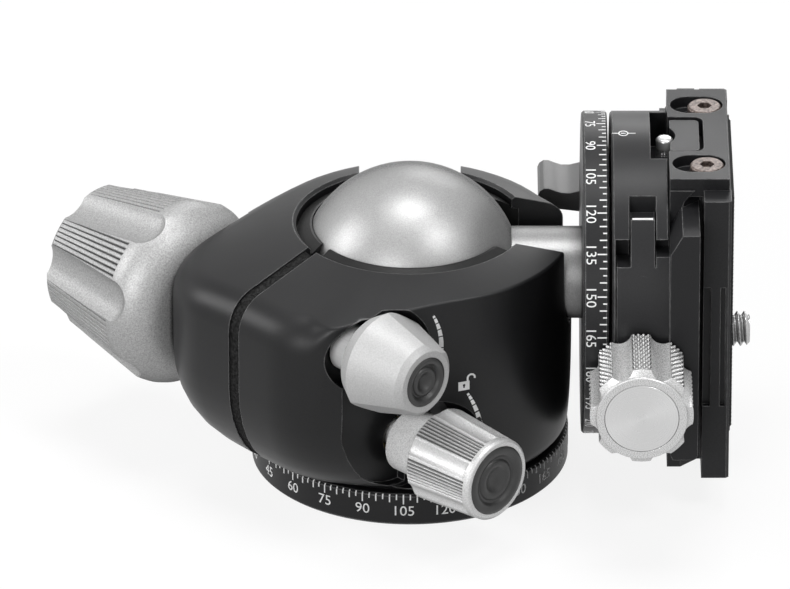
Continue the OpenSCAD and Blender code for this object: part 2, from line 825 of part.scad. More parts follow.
module brake_cotter() {
    color("#b08d48") difference() {
        along_knobs(cotter_l0, lock_q, lock_z) cylinder(r = cotter_r, h = cotter_l1 - cotter_l0);
        cylinder(r = drum_r + cotter_gap, h = far);
        along_knobs(cotter_l1 - cotter_thread_depth - free_gap, lock_q, lock_z)
            cylinder(r = lock_screw_r + seat, h = cotter_l1);
    }
}

// Ball and what its stem carries

stem_round = 1.6;
module ball() {
    color("#c9c9cb") difference() {
        union() {
            translate([0, 0, ball_z]) sphere(r = ball_r);
            along_stem(0) cylinder(r = stem_r, h = ring_x);
        }
        along_stem(ring_x - ball_r) cylinder(r = stem_bolt_r + seat, h = far);
    }
}

stem_bolt_r = 3;
stem_bolt_head_r = 5;
stem_bolt_head_h = 3;
module scale_ring() {
    color("#1c1c1e") difference() {
        along_stem(ring_x) turned([[0, 0], [clamp_r - ring_bevel, 0], [clamp_r, ring_bevel],
            [clamp_r, ring_w - ring_bevel], [clamp_r - ring_bevel, ring_w], [hub_r, ring_w],
            [hub_r, ring_w + ring_gap / 2], [brake_hub_r, ring_w + ring_gap / 2],
            [brake_hub_r, ring_w + ring_gap + brake_hub_h], [0, ring_w + ring_gap + brake_hub_h]]);
        along_stem(ring_x - over) cylinder(r = stem_bolt_r + seat, h = far);
        along_stem(clamp_x0 + brake_hub_h - stem_bolt_head_h - seat)
            cylinder(r = stem_bolt_head_r + seat, h = far);
    }
}

module stem_bolt() {
    color("#8b8f96") {
        along_stem(clamp_x0 + brake_hub_h - stem_bolt_head_h)
            bevelled_disc(stem_bolt_head_r, stem_bolt_head_h - seat, free_gap);
        along_stem(ring_x - ball_r + over)
            cylinder(r = stem_bolt_r, h = clamp_x0 + brake_hub_h - stem_bolt_head_h - ring_x + ball_r - over);
    }
}

// Panning clamp

// Dovetail profile as [distance from the centre line, distance above the bed], one half, grown by a gap
function dovetail_half(gap) = [
    [dovetail_w / 2 + gap, 0],
    [dovetail_w / 2 + gap, dovetail_land + gap / 2],
    [dovetail_w / 2 - dovetail_neck + gap, dovetail_land + dovetail_neck + gap / 2],
    [dovetail_w / 2 - dovetail_neck + gap, plate_t - slab_t]];

// Bar along Z over the bed with the dovetail's outline
module dovetail_bar(gap, z0, z1) {
    half = dovetail_half(gap);
    translate([plate_x0, 0, z0]) linear_extrude(z1 - z0) polygon(concat(
        [for (p = half) [p[1], -p[0]]],
        [for (k = [len(half) - 1 : -1 : 0]) [half[k][1], half[k][0]]]));
}

// Outline of a jaw's lip seen from the side, as [distance from the ball's centre, height]
module lip_outline(x0, z0, z1) {
    polygon([[x0, z0 + lip_foot_h], [bed_x + lip_foot_w, z0], [lip_top_x - lip_foot_w, z0],
        [lip_top_x, z0 + lip_foot_w], [lip_top_x, z1], [bed_x + lip_head_w, z1],
        [bed_x, z1 - lip_head_h], [x0, z1 - lip_head_h]]);
}

module fixed_jaw() {
    difference() {
        translate([0, fixed_jaw_y, 0]) rotate([axis_tilt, 0, 0])
            linear_extrude(fixed_jaw_y - dovetail_w / 2 + dovetail_neck + over)
                lip_outline(bed_x - over, ball_z - jaw_len / 2, ball_z + jaw_len / 2);
        dovetail_bar(dovetail_gap, 0, far + far);
        box([bed_x, 0, 0], [plate_x0, dovetail_w / 2 + dovetail_gap, far + far]);
    }
}

module clamp_cuts() {
    along_stem(clamp_x0 - over) cylinder(r = brake_hub_r + hub_bore_gap, h = brake_hub_h + over + free_gap);
    box([jaw_low_x0 - jaw_gap / 2, -far, 2 * ball_z - jaw_cut_top], [far, jaw_split_y, jaw_cut_top]);
    box([tongue_x0 - window_gap, -far, ball_z], [tongue_x1 + window_gap, jaw_split_y + tongue_t, window_top]);
    box([top_pocket_x, -top_pocket_w / 2, top_pocket_z], [far, top_pocket_w / 2, far + far]);
    translate([stop_x, 0, stop_z0]) cylinder(r = stop_r + seat, h = far);
    for (s = [-1, 1]) translate([guide_x, guide_y0, ball_z + s * guide_z_offset])
        rotate([-axis_tilt, 0, 0]) cylinder(r = guide_r + seat, h = guide_y1 - guide_y0 + free_gap);
    translate([knob_x, -far, clamp_knob_z]) rotate([-axis_tilt, 0, 0])
        cylinder(r = clamp_rod_r + seat, h = far + knob_root_y + clamp_rod_end + free_gap / 2);
    translate([knob_x, -far, clamp_knob_z]) rotate([-axis_tilt, 0, 0])
        cylinder(r = knob_washer_r + free_gap, h = far + knob_washer_y1 + free_gap);
    translate([lever_pivot_x, clamp_r - lever_screw_in, ball_z]) rotate([-axis_tilt, 0, 0])
        cylinder(r = lever_screw_r + seat, h = far);
    translate([lever_pivot_x, clamp_r - over / 2, ball_z]) rotate([-axis_tilt, 0, 0])
        cylinder(r = lever_hub_r + over, h = far);
}

module clamp_body() {
    color("#242426") difference() {
        union() {
            along_stem(clamp_x0) bevelled_disc(clamp_r, bed_x - clamp_x0, ring_bevel);
            fixed_jaw();
        }
        clamp_cuts();
    }
}

module stop_screw() {
    color("#d2d2d4") translate([stop_x, 0, stop_z0 + seat])
        bevelled_disc(stop_r, stop_top - stop_z0 - seat, free_gap);
}

module pan_lever() {
    color("#4a4a4c") difference() {
        union() {
            translate([0, lever_y0 + lever_w, ball_z]) rotate([axis_tilt, 0, 0]) linear_extrude(lever_w)
                polygon(lever_points);
            translate([lever_pivot_x, lever_y0, ball_z]) rotate([-axis_tilt, 0, 0])
                cylinder(r = lever_hub_r, h = lever_w);
        }
        translate([lever_pivot_x, lever_y0 - over, ball_z]) rotate([-axis_tilt, 0, 0])
            cylinder(r = lever_screw_r + seat, h = far);
        translate([lever_pivot_x, lever_y0 + lever_w - lever_head_h - seat, ball_z]) rotate([-axis_tilt, 0, 0])
            cylinder(r = lever_head_r + seat, h = far);
    }
}

// Side view of the lever's arm, as [distance from the ball's centre, height over the stem's axis]
lever_len = lever_pivot_x - lever_tip_x;
lever_shares = [[0, 0.02], [0.02, 0.065], [0.06, 0.095], [0.11, 0.095], [0.17, 0.07], [0.24, 0.045],
    [0.33, 0.045], [0.44, 0.075], [0.6, 0.13], [0.8, 0.21], [1, 0.25],
    [1, -0.25], [0.7, -0.22], [0.44, -0.165], [0.2, -0.135], [0.06, -0.05]];
lever_points = [for (s = lever_shares) [lever_tip_x + s[0] * lever_len, s[1] * lever_len]];

module lever_screw() {
    color("#8b8f96") {
        translate([lever_pivot_x, lever_y0 + lever_w - lever_head_h, ball_z]) rotate([-axis_tilt, 0, 0])
            difference() {
                bevelled_disc(lever_head_r, lever_head_h, free_gap);
                translate([0, 0, lever_head_h / 2]) cylinder(r = lever_screw_r * 2 / 3, h = over, $fn = 6);
            }
        translate([lever_pivot_x, clamp_r - lever_screw_in + seat, ball_z]) rotate([-axis_tilt, 0, 0])
            cylinder(r = lever_screw_r, h = lever_y0 + lever_w - lever_head_h - clamp_r + lever_screw_in - seat);
    }
}

// Moving jaw: a flat lip over the dovetail and a lower part that follows the round clamp body
module moving_jaw() {
    lip_z0 = ball_z - moving_jaw_len / 2;
    lip_z1 = ball_z + moving_jaw_len / 2;
    color("#202022") difference() {
        union() {
            difference() {
                translate([0, -dovetail_w / 2 + dovetail_neck, 0]) rotate([axis_tilt, 0, 0])
                    linear_extrude(moving_jaw_y - dovetail_w / 2 + dovetail_neck)
                        lip_outline(bed_x + seat, lip_z0, lip_z1);
                box([0, -far, 0], [bed_x + seat, far, far + far]);
            }
            intersection() {
                along_stem(jaw_low_x0) cylinder(r = clamp_r, h = bed_x + over - jaw_low_x0);
                union() {
                    box([jaw_low_x0, -far, jaw_low_bottom], [bed_x + over, jaw_split_y - jaw_gap, jaw_low_top]);
                    box([jaw_right_x, -far, jaw_low_bottom],
                        [bed_x + over, jaw_split_y - jaw_gap, jaw_right_top]);
                }
            }
            intersection() {
                along_stem(jaw_low_x0) difference() {
                    cylinder(r = clamp_r, h = bed_x - jaw_low_x0);
                    translate([0, 0, -over]) cylinder(r = clamp_r - tongue_t, h = far);
                }
                box([tongue_x0, -far, ball_z], [tongue_x1, jaw_split_y + tongue_t - jaw_gap, tongue_top]);
            }
        }
        dovetail_bar(dovetail_gap, 0, far + far);
        for (s = [-1, 1]) translate([guide_x, guide_y0, ball_z + s * guide_z_offset])
            rotate([-axis_tilt, 0, 0]) cylinder(r = guide_r + seat, h = far);
        translate([knob_x, -far, clamp_knob_z]) rotate([-axis_tilt, 0, 0])
            cylinder(r = clamp_rod_r + bolt_gap, h = far);
        translate([knob_x, -far, clamp_knob_z]) rotate([-axis_tilt, 0, 0])
            cylinder(r = knob_washer_r + seat, h = far + knob_washer_y1);
    }
}

module guide_pins() {
    color("#8b8f96") for (s = [-1, 1]) translate([guide_x, guide_y0 + seat, ball_z + s * guide_z_offset])
        rotate([-axis_tilt, 0, 0]) cylinder(r = guide_r, h = guide_y1 - guide_y0 - seat);
}

module knob_washer() {
    color("#b2b2b4") translate([knob_x, knob_washer_y0, clamp_knob_z]) rotate([-axis_tilt, 0, 0]) difference() {
        bevelled_disc(knob_washer_r, knob_washer_y1 - knob_washer_y0 - seat, free_gap);
        translate([0, 0, -over]) cylinder(r = clamp_rod_r + bolt_gap, h = far);
    }
}

// Clamp knob, made along +Z from its root to its front
clamp_knob_core_r = clamp_knob_r - clamp_flute_depth;
module clamp_knob_solid() {
    nose_z = clamp_knob_h - clamp_flange_h - clamp_nose_h;
    difference() {
        turned([[0, 0], [clamp_knob_r - base_bevel, 0], [clamp_knob_r, base_bevel], [clamp_knob_r, nose_z],
            [clamp_flange_r, nose_z + clamp_nose_h], [clamp_flange_r, clamp_knob_h - base_bevel],
            [clamp_flange_r - base_bevel, clamp_knob_h], [0, clamp_knob_h]]);
        around(clamp_knob_lands) rotate([0, 0, 180 / clamp_knob_lands])
            translate([clamp_knob_core_r + clamp_flute_r, 0, -over])
                cylinder(r = clamp_flute_r, h = nose_z + over + clamp_nose_h / 2);
        translate([0, 0, clamp_knob_h - clamp_disc_t]) cylinder(r = clamp_disc_r + seat, h = clamp_disc_t + over);
        translate([0, 0, -over]) cylinder(r = clamp_rod_r + seat, h = clamp_knob_h - clamp_disc_t);
    }
}

module at_clamp_knob() {
    translate([knob_x, knob_root_y, clamp_knob_z]) rotate([axis_tilt, 0, 0]) children();
}

module clamp_knob() {
    color("#cfcfd1") at_clamp_knob() clamp_knob_solid();
}

module clamp_knob_disc() {
    color("#dededf") at_clamp_knob() translate([0, 0, clamp_knob_h - clamp_disc_t])
        bevelled_disc(clamp_disc_r, clamp_disc_t, seat);
}

module clamp_rod() {
    color("#8b8f96") at_clamp_knob() translate([0, 0, -clamp_rod_end])
        cylinder(r = clamp_rod_r, h = clamp_rod_end + clamp_knob_h / 2);
}

// Camera plate

module slab() {
    translate([slab_x0 - seat, 0, plate_z0]) linear_extrude(plate_len) polygon([
        [0, -plate_w / 2], [slab_t + seat - plate_bevel / 2, -plate_w / 2],
        [slab_t + seat, -(plate_w - plate_bevel) / 2], [slab_t + seat, (plate_w - plate_bevel) / 2],
        [slab_t + seat - plate_bevel / 2, plate_w / 2], [0, plate_w / 2]]);
}

// Straight run of the camera screw along the plate: a slot of radius r between two faces
module screw_slot(r, x0, x1) {
    for (z = [camera_screw_z, camera_screw_z + camera_slot_travel]) translate([x0, 0, z])
        rotate([0, axis_tilt, 0]) cylinder(r = r, h = x1 - x0);
    box([x0, -r, camera_screw_z], [x1, r, camera_screw_z + camera_slot_travel]);
}

// Solid end of the dovetail's near side, where the round cutter runs out
module dovetail_end() {
    neck_x = plate_x0 + dovetail_land + dovetail_neck;
    difference() {
        box([plate_x0, -dovetail_w / 2, runout_z], [slab_x0, 0, plate_z1]);
        translate([plate_x0 + dovetail_land, -dovetail_w / 2 + dovetail_neck - runout_r, runout_z])
            rotate([0, axis_tilt, 0]) {
                cylinder(r1 = runout_r - dovetail_neck, r2 = runout_r, h = dovetail_neck);
                translate([0, 0, dovetail_neck]) cylinder(r = runout_r, h = slab_x0 - neck_x);
            }
    }
}

// Upright block with its two corners away from the ball rounded
module round_block(x0, x1, w, z0, z1, round) {
    translate([0, 0, z0]) linear_extrude(z1 - z0) {
        translate([x0, -w / 2]) square([x1 - x0 - round, w]);
        translate([x0, -w / 2 + round]) square([x1 - x0, w - 2 * round]);
        for (s = [-1, 1]) translate([x1 - round, s * (w / 2 - round)]) circle(r = round);
    }
}

module camera_plate() {
    color("#222224") difference() {
        union() {
            slab();
            dovetail_bar(0, plate_z0, plate_z1);
            dovetail_end();
            round_block(plate_x0 + free_gap, boss_x1, boss_w, block_z0 - over, boss_z1, boss_round);
        }
        difference() {
            box([0, -block_w / 2 - seat, block_z0], [far + far, block_w / 2 + seat, far + far]);
            round_block(plate_x0 + free_gap, boss_x1, boss_w, 0, boss_z1, boss_round);
        }
        translate([plate_x0 + stop_groove_depth - stop_groove_r, 0, 0]) cylinder(r = stop_groove_r, h = far + far);
        screw_slot(slot_r, plate_x0 - over, far);
        screw_slot(head_pocket_r, plate_x0 - over, head_pocket_x);
        for (s = [-1, 1]) translate([block_screw_x, s * block_screw_y, block_z0 - block_screw_depth])
            cylinder(r = block_screw_r + seat, h = far);
        box([slab_x0, -plate_w, groove_z0], [slab_x0 + side_groove_t * 3 / 2, -plate_w / 2 + over, groove_z1]);
        box([plate_x1 - 2 * side_groove_t, -plate_w, groove_z0],
            [plate_x1 - side_groove_t, -plate_w / 2 + over, groove_z1]);
    }
}

module plate_pad() {
    color("#141414") difference() {
        box([plate_x1, -pad_w / 2, pad_z0], [plate_x1 + pad_t, pad_w / 2, pad_z1]);
        screw_slot(slot_r + over / 2, plate_x1 - over, far + far);
    }
}

module end_block() {
    color("#2a2a2c") difference() {
        box([plate_x0, -block_w / 2, block_z0 + seat], [plate_x0 + block_t, block_w / 2, block_z1]);
        round_block(0, boss_x1 + boss_gap + seat, boss_w + 2 * boss_gap, 0, far + far, boss_round + boss_gap);
        for (s = [-1, 1]) {
            for (x = [block_slot_x, block_screw_x]) {
                translate([x, s * block_screw_y, block_z1 - block_slot_depth])
                    cylinder(r = block_slot_r, h = far);
                translate([x, s * block_screw_y, 0]) cylinder(r = block_screw_r + seat, h = far + far);
            }
            box([block_slot_x, s * block_screw_y - block_slot_r, block_z1 - block_slot_depth],
                [block_screw_x, s * block_screw_y + block_slot_r, far + far]);
            box([block_slot_x, s * block_screw_y - block_screw_r - seat, 0],
                [block_screw_x, s * block_screw_y + block_screw_r + seat, far + far]);
        }
    }
}

module end_block_screws() {
    color("#b09a92") for (s = [-1, 1]) {
        translate([block_screw_x, s * block_screw_y, block_z1 - block_slot_depth + seat]) difference() {
            bevelled_disc(block_head_r, block_head_h, free_gap);
            translate([0, 0, block_head_h / 2]) cylinder(r = block_hex_r, h = block_head_h, $fn = 6);
        }
        translate([block_screw_x, s * block_screw_y, block_z0 - block_screw_depth + over])
            cylinder(r = block_screw_r, h = block_screw_depth - over + block_z1 - block_slot_depth - block_z0 + seat);
    }
}

module at_camera_screw(x) {
    translate([x, 0, camera_screw_z]) rotate([0, axis_tilt, 0]) children();
}

module screw_collar() {
    color("#e6e3da") difference() {
        at_camera_screw(head_pocket_x + seat) cylinder(r = collar_r, h = collar_t);
        at_camera_screw(0) cylinder(r = shank_r + bolt_gap, h = far + far);
    }
}

module camera_screw() {
    color("#c9c9cb") {
        difference() {
            at_camera_screw(head_pocket_x - screw_head_t) bevelled_disc(screw_head_r, screw_head_t - seat, free_gap);
            at_camera_screw(head_pocket_x - screw_head_t - over)
                translate([-screw_head_r - over, -coin_slot_w / 2, 0])
                    cube([2 * (screw_head_r + over), coin_slot_w, coin_slot_depth + over]);
        }
        at_camera_screw(head_pocket_x - seat) cylinder(r = shank_r, h = thread_x0 - head_pocket_x + seat);
        at_camera_screw(thread_x0) cylinder(r = camera_screw_r, h = plate_x1 + camera_screw_out - thread_x0);
    }
}

// One line for each node

base_disc();
tripod_bush();
brake_drum();
base_screws();
base_washer();
housing();
keeper_ring();
ball_seat();
seat_spring();
ball_cup();
slit_seal();
pinch_insert();
large_knob();
large_knob_cap();
pinch_bolt();
friction_knob();
friction_knob_insert();
friction_screw();
lock_knob();
lock_knob_insert();
lock_screw();
brake_cotter();
ball();
scale_ring();
stem_bolt();
clamp_body();
stop_screw();
pan_lever();
lever_screw();
moving_jaw();
guide_pins();
knob_washer();
clamp_knob();
clamp_knob_disc();
clamp_rod();
camera_plate();
plate_pad();
end_block();
end_block_screws();
screw_collar();
camera_screw();
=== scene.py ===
"""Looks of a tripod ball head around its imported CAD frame: materials, scales, marks and studio."""

import math

import bpy
from mathutils import Matrix, Vector
from mathutils.bvhtree import BVHTree

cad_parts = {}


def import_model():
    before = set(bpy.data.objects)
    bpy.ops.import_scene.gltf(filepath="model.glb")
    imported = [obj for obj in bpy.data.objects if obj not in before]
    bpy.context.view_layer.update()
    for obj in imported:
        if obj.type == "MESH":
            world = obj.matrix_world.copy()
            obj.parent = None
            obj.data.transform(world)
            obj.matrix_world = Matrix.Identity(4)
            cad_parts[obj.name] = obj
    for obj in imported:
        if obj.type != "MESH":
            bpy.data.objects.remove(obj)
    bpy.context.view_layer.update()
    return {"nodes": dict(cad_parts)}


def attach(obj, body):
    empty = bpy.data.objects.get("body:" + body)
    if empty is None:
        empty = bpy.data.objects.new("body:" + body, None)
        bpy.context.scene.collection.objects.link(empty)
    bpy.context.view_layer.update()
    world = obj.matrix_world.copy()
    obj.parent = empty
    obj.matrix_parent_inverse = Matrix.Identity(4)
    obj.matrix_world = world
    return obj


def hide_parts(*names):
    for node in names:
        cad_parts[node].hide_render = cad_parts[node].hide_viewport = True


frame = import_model()
nodes = frame["nodes"]

MM = 0.001
TURN = 2 * math.pi
BALL_Z = 36.4
KNOB_AXIS = (0.7071, -0.7071, 0)
HALF_ROOT = math.sqrt(0.5)
CLAMP_KNOB_X, CLAMP_KNOB_Y, CLAMP_KNOB_Z = 41.0, -30.3, 30.5


# ---------- Materials ----------

# The values of a noise, of the occlusion in a hollow (for painted shade) and of an edge's bend (for
# worn edges with a painted highlight) that a look runs between
NOISE_LOW, NOISE_HIGH = 0.3, 0.7
HOLLOW_AO, OPEN_AO = 0.35, 0.95
EDGE_DOT, FLAT_DOT = 0.90, 0.985
# Worn edges with a painted highlight: blotches and line width in millimetres, and the line's tone
WEAR_HIGHLIGHT_BLOTCH = 1.5
WEAR_HIGHLIGHT_W, WEAR_HIGHLIGHT_GREY = 0.3, 0.26


class Look:
    """One procedural material, built from a few named node steps."""

    def __init__(self, name, base, rough, metallic=0.0):
        self.mat = bpy.data.materials.new(name)
        self.mat.use_nodes = True
        tree = self.mat.node_tree
        self.nodes, self.links = tree.nodes, tree.links
        self.bsdf = self.nodes["Principled BSDF"]
        self.base, self.rough = base, rough
        self.bsdf.inputs["Metallic"].default_value = metallic
        self.coord = self.add("ShaderNodeTexCoord").outputs["Object"]
        self.normal = None

    def add(self, kind, **values):
        node = self.nodes.new(kind)
        for key, value in values.items():
            setattr(node, key, value)
        return node

    def feed(self, node, name, value):
        """Sets a socket's value, or links it if the value is another socket."""
        socket = node.inputs[name]
        if isinstance(value, bpy.types.NodeSocket):
            self.links.new(value, socket)
        else:
            socket.default_value = value

    def noise(self, size, detail=2.0, coord=None):
        """Noise whose blotches are about this many millimetres across."""
        node = self.add("ShaderNodeTexNoise")
        self.feed(node, "Vector", coord or self.coord)
        self.feed(node, "Scale", 1 / (size * MM))
        self.feed(node, "Detail", detail)
        return node.outputs["Fac"]

    def stretched(self, along, across, axis):
        """Coordinates for lines: fine along the axis, slow round it. The sizes are in millimetres."""
        node = self.add("ShaderNodeMapping", vector_type="POINT")
        turn = Vector((0, 0, 1)).rotation_difference(Vector(axis)).inverted().to_euler()
        self.feed(node, "Vector", self.coord)
        self.feed(node, "Rotation", turn)
        self.feed(node, "Scale", (1.0 / across, 1.0 / across, 1.0 / along))
        return node.outputs["Vector"]

    def span(self, fac, low, high):
        """Maps a noise value onto a range."""
        node = self.add("ShaderNodeMapRange")
        self.feed(node, "Value", fac)
        self.feed(node, "From Min", NOISE_LOW)
        self.feed(node, "From Max", NOISE_HIGH)
        self.feed(node, "To Min", low)
        self.feed(node, "To Max", high)
        return node.outputs["Result"]

    def tint(self, fac, low, high):
        """Varies the base colour between two shares of itself."""
        ramp = self.add("ShaderNodeValToRGB")
        for stop, place, share in ((0, NOISE_LOW, low), (1, NOISE_HIGH, high)):
            ramp.color_ramp.elements[stop].position = place
            ramp.color_ramp.elements[stop].color = [min(1, c * share) for c in self.base] + [1]
        self.feed(ramp, "Fac", fac)
        self.feed(self.bsdf, "Base Color", ramp.outputs["Color"])

    def hollows(self, reach, dark):
        """Paints shade into the colour: darkens it in grooves and hollows narrower than about this
        many millimetres.
        """
        near = self.add("ShaderNodeAmbientOcclusion", samples=6)
        self.feed(near, "Distance", reach * MM)
        level = self.add("ShaderNodeMapRange")
        self.feed(level, "Value", near.outputs["AO"])
        self.feed(level, "From Min", HOLLOW_AO)
        self.feed(level, "From Max", OPEN_AO)
        self.feed(level, "To Min", dark)
        mix = self.add("ShaderNodeMix", data_type="RGBA", blend_type="MULTIPLY")
        mix.inputs["Factor"].default_value = 1.0
        old = self.bsdf.inputs["Base Color"].links[0].from_socket
        self.links.new(old, mix.inputs["A"])
        self.links.new(level.outputs["Result"], mix.inputs["B"])
        self.links.new(mix.outputs["Result"], self.bsdf.inputs["Base Color"])
        return self

    def wear(self, width, tone):
        """Thin light lines along edges, broken up by noise: partly wear, partly a painted highlight.
        """
        bevel = self.add("ShaderNodeBevel", samples=4)
        self.feed(bevel, "Radius", width * MM)
        geometry = self.add("ShaderNodeNewGeometry")
        dot = self.add("ShaderNodeVectorMath", operation="DOT_PRODUCT")
        self.feed(dot, 0, bevel.outputs["Normal"])
        self.feed(dot, 1, geometry.outputs["Normal"])
        mask = self.add("ShaderNodeMapRange")
        self.feed(mask, "Value", dot.outputs["Value"])
        self.feed(mask, "From Min", FLAT_DOT)
        self.feed(mask, "From Max", EDGE_DOT)
        worn_and_lit = self.add("ShaderNodeMath", operation="MULTIPLY")
        self.feed(worn_and_lit, 0, mask.outputs["Result"])
        self.feed(worn_and_lit, 1, self.span(self.noise(WEAR_HIGHLIGHT_BLOTCH, 4), 0.25, 1.0))
        mix = self.add("ShaderNodeMix", data_type="RGBA")
        old = self.bsdf.inputs["Base Color"].links[0].from_socket
        self.links.new(worn_and_lit.outputs[0], mix.inputs["Factor"])
        self.links.new(old, mix.inputs["A"])
        mix.inputs["B"].default_value = (tone, tone, tone, 1)
        self.links.new(mix.outputs["Result"], self.bsdf.inputs["Base Color"])
        return self

    def edged(self, share):
        """Darkens what the metal mirrors where it is seen along its surface."""
        self.bsdf.inputs["Specular Tint"].default_value = (share, share, share, 1)
        return self

    def roughen(self, fac, spread):
        self.feed(self.bsdf, "Roughness", self.span(fac, self.rough - spread, self.rough + spread))

    def bump(self, fac, depth):
        """Adds relief of this many millimetres."""
        node = self.add("ShaderNodeBump")
        self.feed(node, "Distance", depth * MM)
        self.feed(node, "Height", fac)
        if self.normal:
            self.feed(node, "Normal", self.normal)
        self.normal = node.outputs["Normal"]
        self.feed(self.bsdf, "Normal", self.normal)

    def ease(self, width):
        """Rounds sharp edges in the shading by this many millimetres."""
        node = self.add("ShaderNodeBevel", samples=4)
        self.feed(node, "Radius", width * MM)
        self.normal = node.outputs["Normal"]


def blasted(name, base, rough, grain=0.26, depth=0.03, shade=0.2, metallic=0.25, gloss=0.15):
    """Bead-blasted and anodised metal: a fine even grain."""
    look = Look(name, base, rough, metallic)
    look.bsdf.inputs["Specular IOR Level"].default_value = gloss
    look.ease(0.2)
    fine = look.noise(grain, 3)
    broad = look.noise(9.0, 3)
    look.tint(fine, 1 - shade, 1 + shade)
    look.roughen(broad, 0.03)
    look.bump(fine, depth)
    return look


def turned(name, base, rough, axis, metallic=0.4):
    """Turned metal: fine lines round an axis over a faint grain."""
    line, depth, shade = 0.12, 0.006, 0.05
    look = Look(name, base, rough, metallic)
    look.bsdf.inputs["Specular IOR Level"].default_value = 0.3
    look.ease(0.12)
    lines = look.noise(line, 2, look.stretched(1.0, 40.0, axis))
    grain = look.noise(0.2, 2)
    look.tint(lines, 1 - shade, 1 + shade)
    look.roughen(grain, 0.05)
    look.bump(lines, depth)
    look.bump(grain, depth / 2)
    return look


def anodised(name, base, rough=0.42, grain=0.2, depth=0.006, shade=0.25, gloss=0.24):
    """Black anodised metal: a dark clear skin over fine blasting."""
    look = Look(name, base, rough)
    look.bsdf.inputs["Specular IOR Level"].default_value = gloss
    look.ease(0.25)
    fine = look.noise(grain, 3)
    broad = look.noise(14.0, 3)
    look.tint(fine, 1 - shade, 1 + shade)
    # Light lines along the edges: partly wear, partly a painted highlight.
    look.wear(WEAR_HIGHLIGHT_W, WEAR_HIGHLIGHT_GREY)
    look.roughen(broad, 0.035)
    look.bump(fine, depth)
    return look


def rubber(name, base, rough, grain=0.3, depth=0.02, shade=0.2, gloss=0.2):
    """Soft black rubber or plastic with a slight bloom."""
    look = Look(name, base, rough)
    look.bsdf.inputs["Specular IOR Level"].default_value = gloss
    fine = look.noise(grain, 4)
    look.tint(look.noise(2.5, 3), 1 - shade, 1 + shade)
    look.roughen(fine, 0.06)
    look.bump(fine, depth)
    return look


def foam(name, base):
    """Open-cell foam: rough dark cells."""
    look = Look(name, base, 0.9)
    look.bsdf.inputs["Specular IOR Level"].default_value = 0.1
    cells = look.noise(0.5, 5)
    look.tint(cells, 0.1, 5.0)
    look.roughen(cells, 0.08)
    look.bump(cells, 0.6)
    return look


def spun(name, base, rough, centre):
    """Face cut on a lathe: fine rings about a centre, on a face across Y."""
    look = Look(name, base, rough, metallic=0.8)
    away = look.add("ShaderNodeVectorMath", operation="SUBTRACT")
    look.feed(away, 0, look.coord)
    look.feed(away, 1, [c * MM for c in centre])
    flat = look.add("ShaderNodeVectorMath", operation="MULTIPLY")
    look.feed(flat, 0, away.outputs[0])
    look.feed(flat, 1, (1, 0, 1))
    length = look.add("ShaderNodeVectorMath", operation="LENGTH")
    look.feed(length, 0, flat.outputs[0])
    line = look.add("ShaderNodeCombineXYZ")
    look.feed(line, "X", length.outputs["Value"])
    rings = look.noise(0.09, 1, line.outputs["Vector"])
    look.tint(rings, 0.93, 1.05)
    look.roughen(rings, 0.04)
    look.bump(rings, 0.004)
    tangent = look.add("ShaderNodeTangent", direction_type="RADIAL", axis="Y")
    look.bsdf.inputs["Anisotropic"].default_value = 0.6
    look.feed(look.bsdf, "Tangent", tangent.outputs["Tangent"])
    return look


def grey(value):
    return value, value, value


SILVER, BRIGHT, STEEL = grey(0.42), grey(0.62), (0.42, 0.42, 0.43)
BLACK, DARK = (0.0070, 0.0070, 0.0076), (0.011, 0.011, 0.012)
INNER, POLYMER, RUBBER = (0.28, 0.28, 0.29), (0.7, 0.69, 0.65), grey(0.022)
X_AXIS, Y_AXIS, Z_AXIS = (1, 0, 0), (0, 1, 0), (0, 0, 1)

